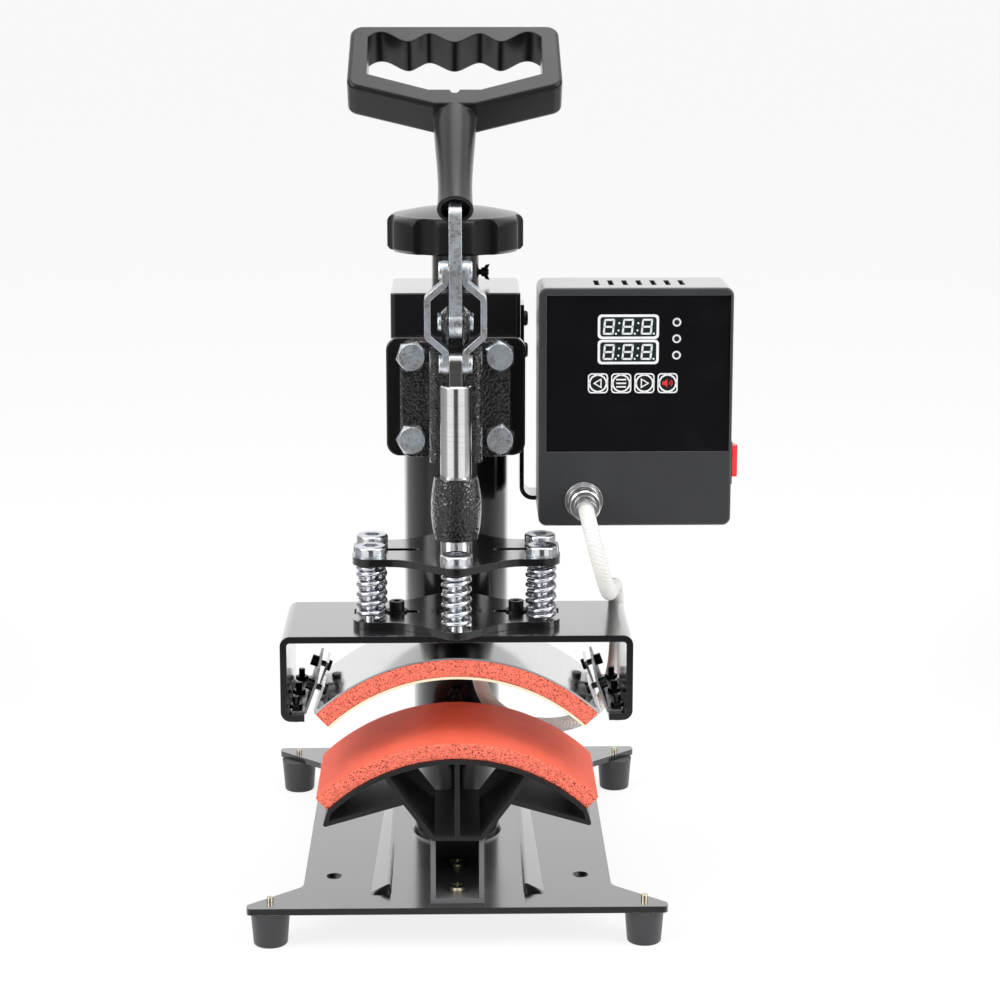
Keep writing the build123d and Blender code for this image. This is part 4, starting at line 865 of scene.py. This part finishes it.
@dataclass
class FoamArch:
    """A strip of sponge bent to an arc, with knife-cut edges."""

    name: str
    node: str
    body: str
    inner: float
    outer: float
    half_angle: float
    centre_z: float
    front: float
    depth: float
    cut_round: float = 0.7
    unevenness: float = 0.22
    wander_size: float = 11.0
    longest: float = 3.0
    across: int = 110
    end_shares: tuple[float, float] = (0.9, 0.97)
    end_step: float = 0.3
    end_inset: float = 10.0

    def _section(self) -> list[Spot]:
        """Returns the strip's section as (depth, radius) points, with rounded corners."""
        r = self.cut_round
        corners = ((self.front, self.inner, 180.0), (self.front, self.outer, 90.0),
                   (self.front + self.depth, self.outer, 0.0), (self.front + self.depth, self.inner, 270.0))
        loop = []
        for index, (y, radius, start) in enumerate(corners):
            in_y = y + (r if index < 2 else -r)
            in_radius = radius + (-r if index in (1, 2) else r)
            for step in range(4):
                a = math.radians(start + 90.0 - 30.0 * step)
                loop.append((in_y + r * math.cos(a), in_radius + r * math.sin(a)))
        return self._refined(loop)

    def _refined(self, loop: Sequence[Spot]) -> list[Spot]:
        """Returns the loop with its long runs divided."""
        made = []
        for here, after in zip(loop, [*loop[1:], loop[0]]):
            length = math.dist(here, after)
            parts = max(1, round(length / self.longest))
            made += [tuple(h + (a - h) * i / parts for h, a in zip(here, after)) for i in range(parts)]
        return made

    def _point(self, angle: float, y: float, radius: float) -> Vector:
        """Returns a point of the foam, moved in a little by its unevenness."""
        raw = PRESS.at(radius * math.sin(angle), y, self.centre_z + radius * math.cos(angle))
        wander = noise.noise(raw / (self.wander_size * MM)) * self.unevenness
        middle = (self.inner + self.outer) / 2
        shrink = abs(wander) * (1 if radius > middle else -1)
        radius -= shrink * (abs(radius - middle) / (self.outer - middle))
        return PRESS.at(radius * math.sin(angle), y, self.centre_z + radius * math.cos(angle))

    def _stations(self) -> list[tuple[float, float]]:
        """Returns each section's angle, and the share of its size that it has near the strip's ends."""
        limit = math.radians(self.half_angle)
        rounding = self.cut_round / self.outer
        span = 2 * limit - 2 * rounding
        near = rounding * self.end_step
        last, next_to_last = self.end_shares
        made = [(-limit, last), (-limit + near, next_to_last)]
        made += [(-limit + rounding + span * i / self.across, 1.0) for i in range(self.across + 1)]
        return made + [(limit - near, next_to_last), (limit, last)]

    def build(self) -> bpy.types.Object:
        """Makes the strip in place of its plain solid."""
        section = self._section()
        mid_y = self.front + self.depth / 2
        mid_r = (self.inner + self.outer) / 2
        angles = self._stations()
        points = []
        for angle, share in angles:
            inset = (1 - share) * self.end_inset * self.cut_round
            for y, radius in section:
                y_in = y + math.copysign(min(inset, abs(mid_y - y)), mid_y - y)
                r_in = radius + math.copysign(min(inset, abs(mid_r - radius)), mid_r - radius)
                points.append(self._point(angle, y_in, r_in))
        count = len(section)
        faces = []
        for ring in range(len(angles) - 1):
            for side in range(count):
                a, b = ring * count + side, ring * count + (side + 1) % count
                faces.append((a, a + count, b + count, b))
        faces.append(list(range(count)))
        faces.append([(len(angles) - 1) * count + side for side in reversed(range(count))])
        foam = mount(new_mesh(self.name, points, faces), self.body, "sponge", [self.node])
        return foam


class Segment(Enum):
    """The seven bars of a digit: centre across, centre up, and whether it stands upright."""

    TOP = (0.0, 1.0, False)
    UPPER_RIGHT = (0.5, 0.5, True)
    LOWER_RIGHT = (0.5, -0.5, True)
    BOTTOM = (0.0, -1.0, False)
    LOWER_LEFT = (-0.5, -0.5, True)
    UPPER_LEFT = (-0.5, 0.5, True)
    MIDDLE = (0.0, 0.0, False)


def round_box(mid_x: float, mid_z: float, half_x: float, half_z: float, radius: float) -> Outline:
    """Returns the outline of a box with rounded corners."""
    made = []
    for side, rise, start in ((1, 1, 0), (-1, 1, 90), (-1, -1, 180), (1, -1, 270)):
        for step in range(5):
            a = math.radians(start + 22.5 * step)
            made.append((mid_x + side * (half_x - radius) + radius * math.cos(a),
                         mid_z + rise * (half_z - radius) + radius * math.sin(a)))
    return made


@dataclass
class FlatArt:
    """Thin raised shapes on a face that looks forward."""

    face_y: float
    proud: float
    shapes: list[Outline] = field(default_factory=list)
    root: float = 0.02

    def add(self, outline: Outline) -> None:
        """Adds one outline, convex or star-shaped about its middle."""
        self.shapes.append(list(outline))

    def slab(self, left: float, bottom: float, right: float, top: float) -> None:
        """Adds a plain rectangle."""
        self.add([(left, bottom), (right, bottom), (right, top), (left, top)])

    def ring(self, outer: Outline, inner: Outline) -> None:
        """Adds a band between two outlines with the same number of points."""
        for i in range(len(outer)):
            j = (i + 1) % len(outer)
            self.add([outer[i], outer[j], inner[j], inner[i]])

    def frame(self, mid: Spot, outer: Triple, inner: Triple) -> None:
        """Adds a band between two rounded boxes.

        Args:
            mid: the middle of both boxes.
            outer: the outer box's half width, half height and corner radius.
            inner: the inner box's, in the same order.
        """
        self.ring(round_box(*mid, *outer), round_box(*mid, *inner))

    def build(self, name: str) -> bpy.types.Object:
        """Makes the raised shapes as one mesh."""
        points, faces = [], []
        for shape in self.shapes:
            area = sum(a[0] * b[1] - b[0] * a[1] for a, b in zip(shape, [*shape[1:], shape[0]]))
            loop = shape if area > 0 else list(reversed(shape))
            first, count = len(points), len(loop)
            points += [PRESS.at(x, self.face_y - self.proud, z) for x, z in loop]
            points += [PRESS.at(x, self.face_y + self.root, z) for x, z in loop]
            faces.append([first + i for i in range(count)])
            faces.append([first + count + i for i in reversed(range(count))])
            for i in range(count):
                j = (i + 1) % count
                faces.append((first + i, first + count + i, first + count + j, first + j))
        return new_mesh(name, points, faces, smooth=False)


@dataclass
class ControlFace:
    """The digits, indicator lenses, key frames and key signs on the control box."""

    panel_y: float = 18.0
    window_sink: float = 0.2
    window_print: float = 0.08
    window_left: float = 86.0
    window_width: float = 35.4
    window_height: float = 13.5
    window_bottoms: tuple[float, float] = (358.6, 343.3)
    frame_out: float = 0.7
    frame_in: float = 0.8
    frame_rounds: tuple[float, float] = (2.4, 1.6)
    digit_height: float = 9.6
    digit_width: float = 6.6
    digit_pitch: float = 11.4
    digit_shift: float = 0.3
    bar: float = 1.15
    bar_gap: float = 0.25
    slant: float = 0.1
    dot: float = 0.6
    dot_round: float = 0.55
    dot_aside: float = 0.9
    colon_rise: float = 2.2
    key_lefts: tuple[float, ...] = (79.4, 93.4, 107.4, 121.4)
    key_width: float = 12.4
    key_bottom: float = 324.9
    key_proud: float = 0.9
    key_print: float = 0.06
    key_frame: tuple[tuple[float, float], ...] = ((0.1, 2.2), (0.9, 1.6))
    key_circle: tuple[float, float] = (0.6, 1.6)
    ring_x: float = 132.8
    ring_heights: tuple[float, ...] = (368.0, 358.0, 348.0)
    lens_radius: float = 1.5

    def _window_art(self) -> FlatArt:
        """Returns empty art on the face of the windows."""
        return FlatArt(self.panel_y - self.window_sink, self.window_print)

    def _bar(self, mid: Spot, segment: Segment) -> Outline:
        """Returns the outline of one bar of a digit, slanted as the digit is."""
        across, up, upright = segment.value
        half = self.bar / 2
        span, tuck = (self.digit_height / 4, 0.4) if upright else (self.digit_width / 2, 0.5)
        reach = span - self.bar_gap - half * tuck
        tip = reach + half * 0.9
        shape = [(-tip, 0), (-reach, half), (reach, half), (tip, 0), (reach, -half), (-reach, -half)]
        if upright:
            shape = [(z, x) for x, z in shape]
        cx = across * (self.digit_width - self.bar)
        cz = up * (self.digit_height - self.bar) / 2
        placed = [(cx + x, cz + z) for x, z in shape]
        return [(mid[0] + x + self.slant * z, mid[1] + z) for x, z in placed]

    def _dot(self, x: float, z: float) -> Outline:
        """Returns the outline of one point of a window."""
        return round_box(x, z, self.dot, self.dot, self.dot_round)

    def build_digits(self) -> bpy.types.Object:
        """Makes a frame, three digits and their points for each window."""
        art = self._window_art()
        half_x, half_z = self.window_width / 2, self.window_height / 2
        mid_window = self.window_left + half_x
        out, inside, rounds = self.frame_out, self.frame_in, self.frame_rounds
        for bottom in self.window_bottoms:
            mid_z = bottom + half_z
            art.frame((mid_window, mid_z), (half_x + out, half_z + out, rounds[0]),
                      (half_x - inside, half_z - inside, rounds[1]))
            for side in (-0.5, 0.5):
                for rise in (self.colon_rise, -self.colon_rise):
                    dot_x = mid_window + side * self.digit_pitch + self.slant * rise
                    art.add(self._dot(dot_x, mid_z + rise))
            for place in (-1, 0, 1):
                mid_x = mid_window + place * self.digit_pitch - self.digit_shift
                for segment in Segment:
                    art.add(self._bar((mid_x, mid_z), segment))
                dot_x = mid_x + self.digit_width / 2 + self.dot_aside
                art.add(self._dot(dot_x, mid_z - self.digit_height / 2 + self.dot))
        return mount(art.build("display_digits"), "head", "print_white")

    def build_lenses(self) -> bpy.types.Object:
        """Makes the dark lens in the middle of each indicator ring."""
        art = self._window_art()
        for z in self.ring_heights:
            art.add(round_box(self.ring_x, z, self.lens_radius, self.lens_radius, self.lens_radius))
        return mount(art.build("indicator_lenses"), "head", "display")

    def build_key_signs(self) -> None:
        """Makes a frame and a plain sign on each key, which move with the key."""
        signs = (partial(self._arrow, way=-1), self._bars, partial(self._arrow, way=1), self._waves)
        half, face_y = self.key_width / 2, self.panel_y - self.key_proud
        square = [(half - inset, half - inset, radius) for inset, radius in self.key_frame]
        circle = [(half - inset,) * 3 for inset in self.key_circle]
        for index, (left, sign) in enumerate(zip(self.key_lefts, signs)):
            body = "key_" + "abcd"[index]
            mid = (left + half, self.key_bottom + half)
            border, picture = FlatArt(face_y, self.key_print), FlatArt(face_y, self.key_print)
            border.frame(mid, *square)
            border.frame(mid, *circle)
            sign(picture, *mid)
            mount(border.build(f"key_border_{index + 1}"), body, "print_white")
            finish = "red_print" if sign == self._waves else ""
            mount(picture.build(f"key_sign_{index + 1}"), body, "print_white", finish=finish)

    @staticmethod
    def _arrow(art: FlatArt, x: float, z: float, way: int) -> None:
        """Adds the outline of a triangle that points right where way is 1 and left where it is -1."""
        outer = [(x + 3.0 * way, z), (x - 2.2 * way, z + 3.1), (x - 2.2 * way, z - 3.1)]
        inner = [(x + 1.6 * way, z), (x - 1.5 * way, z + 1.9), (x - 1.5 * way, z - 1.9)]
        art.ring(outer, inner)

    def _bars(self, art: FlatArt, x: float, z: float) -> None:
        """Adds three short bars, the usual sign for a choice."""
        reach, half, pitch = 3.0, 0.45, 2.2
        for step in (-1, 0, 1):
            mid_z = z + pitch * step
            art.slab(x - reach, mid_z - half, x + reach, mid_z + half)

    def _waves(self, art: FlatArt, x: float, z: float) -> None:
        """Adds a small horn with two waves."""
        art.slab(x - 3.2, z - 1.0, x - 1.9, z + 1.0)
        art.add([(x - 1.9, z - 1.0), (x - 0.2, z - 2.6), (x - 0.2, z + 2.6), (x - 1.9, z + 1.0)])
        arc = [math.radians(a) for a in range(-40, 41, 20)]
        for radius in (1.6, 3.0):
            outer, inner = ([(x + r * math.cos(a), z + r * math.sin(a)) for a in arc]
                            for r in (radius, radius - 0.6))
            for i in range(len(arc) - 1):
                art.add([outer[i], outer[i + 1], inner[i + 1], inner[i]])


@dataclass(frozen=True)
class Lamp:
    """One soft rectangular lamp, in metres and watts."""

    name: str
    place: Triple
    width: float
    height: float
    power: float

    def build(self, target: Point) -> None:
        """Adds the lamp, turned towards a target."""
        data = bpy.data.lights.new(self.name, "AREA")
        data.shape = "RECTANGLE"
        data.size, data.size_y = self.width, self.height
        data.energy = self.power
        lamp = bpy.data.objects.new(self.name, data)
        lamp.location = self.place
        towards = Vector(target) - Vector(self.place)
        lamp.rotation_mode = "QUATERNION"
        lamp.rotation_quaternion = towards.to_track_quat("-Z", "Y")
        bpy.context.scene.collection.objects.link(lamp)


@dataclass
class Studio:
    """White floor, soft lamps, white surroundings and the camera of the photograph."""

    floor_half: float = 60.0
    floor_white: float = 0.84
    floor_colours: tuple[Colour, Colour] = ((0.88, 0.88, 0.88), (0.06, 0.06, 0.06))
    room_starts: tuple[float, float] = (0.35, 0.85)
    room_level: float = 0.1
    room_top: tuple[float, float] = (0.3, 0.65)
    front_flag: tuple[float, float] = (0.945, 0.975)
    side_flag_front: tuple[float, float] = (0.4, 0.56)
    side_flag_back: tuple[float, float] = (-0.88, -0.66)
    side_depth: float = 0.8
    world_level: float = 0.8
    eye: Triple = (0.0, -1421.4, 578.7)
    lens: float = 87.34
    sensor: float = 36.0
    sight: float = 200.0
    tilt: float = 10.67
    yaw: float = 1.06
    lift: float = 0.078
    target: Triple = (0.0, 0.0, 0.3)
    lamps: tuple[Lamp, ...] = (
        Lamp("left_box", (-1.5, -0.9, 1.3), 0.9, 1.4, 27.0),
        Lamp("right_box", (1.5, -0.8, 1.2), 0.9, 1.4, 24.0),
        Lamp("top_box", (0.1, -0.1, 1.9), 1.2, 1.0, 9.0),
    )

    def build_camera(self) -> None:
        """Puts the camera where the photograph was taken."""
        data = bpy.data.cameras.new("camera")
        data.lens = self.lens
        data.sensor_width = self.sensor
        data.shift_y = -self.lift
        data.clip_end = self.sight
        camera = bpy.data.objects.new("camera", data)
        camera.location = PRESS.at(*self.eye)
        camera.rotation_euler = (math.radians(90 - self.tilt), 0, math.radians(-self.yaw))
        bpy.context.scene.collection.objects.link(camera)
        bpy.context.scene.camera = camera

    @staticmethod
    def _rays(p: Painter) -> tuple[Signal, Signal]:
        """Returns 1 for the camera's rays, and 1 for those that a gloss or a clear piece sends on."""
        seen = p.node("LightPath", output="Is Camera Ray")
        glossy = p.node("LightPath", output="Is Glossy Ray")
        return seen, glossy + p.node("LightPath", output="Is Transmission Ray")

    def build_floor(self) -> None:
        """Makes a white floor that keeps a soft shadow and reflects like a dark room far away."""
        half = self.floor_half
        corners = [(-half, -half, 0), (half, -half, 0), (half, half, 0), (-half, half, 0)]
        floor = new_mesh("floor", corners, [(0, 1, 2, 3)])
        p = Painter("white floor")
        seen, sent_on = self._rays(p)
        x, y = p.part(p.place(), "X"), p.part(p.place(), "Y")
        away = ((x * x + y * y) ** 0.5).ramp(*self.room_starts) * self.flagged(x, y)
        matte = p.node("BsdfDiffuse", inputs={"Color": p.mix(away, *self.floor_colours)})
        glow = p.node("Emission", inputs={"Color": (1.0, 1.0, 1.0), "Strength": 1.0})
        direct = seen * (self.floor_white + away * (1 - self.floor_white))
        bounced = sent_on * (1 - away) * self.floor_white
        floor.data.materials.append(p.end(
            p.node("MixShader", inputs={0: direct + bounced, 1: matte, 2: glow})))

    def flagged(self, x: Signal, y: Signal) -> Signal:
        """Finds where the room is dark: behind the camera and, less so, at both sides.

        Args:
            x: the place or direction across.
            y: the place or direction back.

        Returns:
            How dark it is there, from 0 to 1.
        """
        facing = (0 - y) / ((x * x + y * y) ** 0.5)
        side = facing.ramp(*self.side_flag_back) * (1 - facing.ramp(*self.side_flag_front))
        return facing.ramp(*self.front_flag) + side * self.side_depth

    def build_world(self) -> None:
        """Makes a white surround that is dark behind the camera and at both sides, as in a studio."""
        p = Painter("studio", "worlds")
        seen, sent_on = self._rays(p)
        white = seen + sent_on
        heading = p.node("TexCoord", output="Generated")
        x, y, z = (p.part(heading, letter) for letter in "XYZ")
        room = self.flagged(x, y) * (1 - z.ramp(*self.room_top))
        level = white + (1 - white) * self.world_level
        darkening = room * (1 - seen) * (1 - self.room_level)
        background = p.node("Background", inputs={
            "Color": (1.0, 1.0, 1.0), "Strength": level * (1 - darkening)})
        bpy.context.scene.world = p.end(background, "OutputWorld")

    def build(self) -> None:
        """Builds the floor, the surroundings and the lamps."""
        bpy.context.scene.view_settings.view_transform = "Standard"
        self.build_floor()
        self.build_world()
        for lamp in self.lamps:
            lamp.build(self.target)


def main() -> None:
    """Builds the camera, the cable, the other pieces, the finishes and the studio."""
    logging.basicConfig(level=logging.INFO, format="%(name)s: %(message)s")
    studio = Studio()
    studio.build_camera()
    HeaterCable().build()
    FoamArch("platen_sponge", "platen_pad", "base", inner=111.0, outer=121.0, half_angle=44.0,
             centre_z=6.0, front=-48.5, depth=83.0).build()
    FoamArch("heater_sponge", "heater_cushion", "press_head", inner=111.5, outer=122.0, half_angle=43.4,
             centre_z=54.0, front=-41.0, depth=80.0).build()
    SpringSet().build()
    face = ControlFace()
    face.build_digits()
    face.build_lenses()
    face.build_key_signs()
    WORKSHOP.dress_nodes()
    studio.build()


if __name__ == "__main__":
    main()
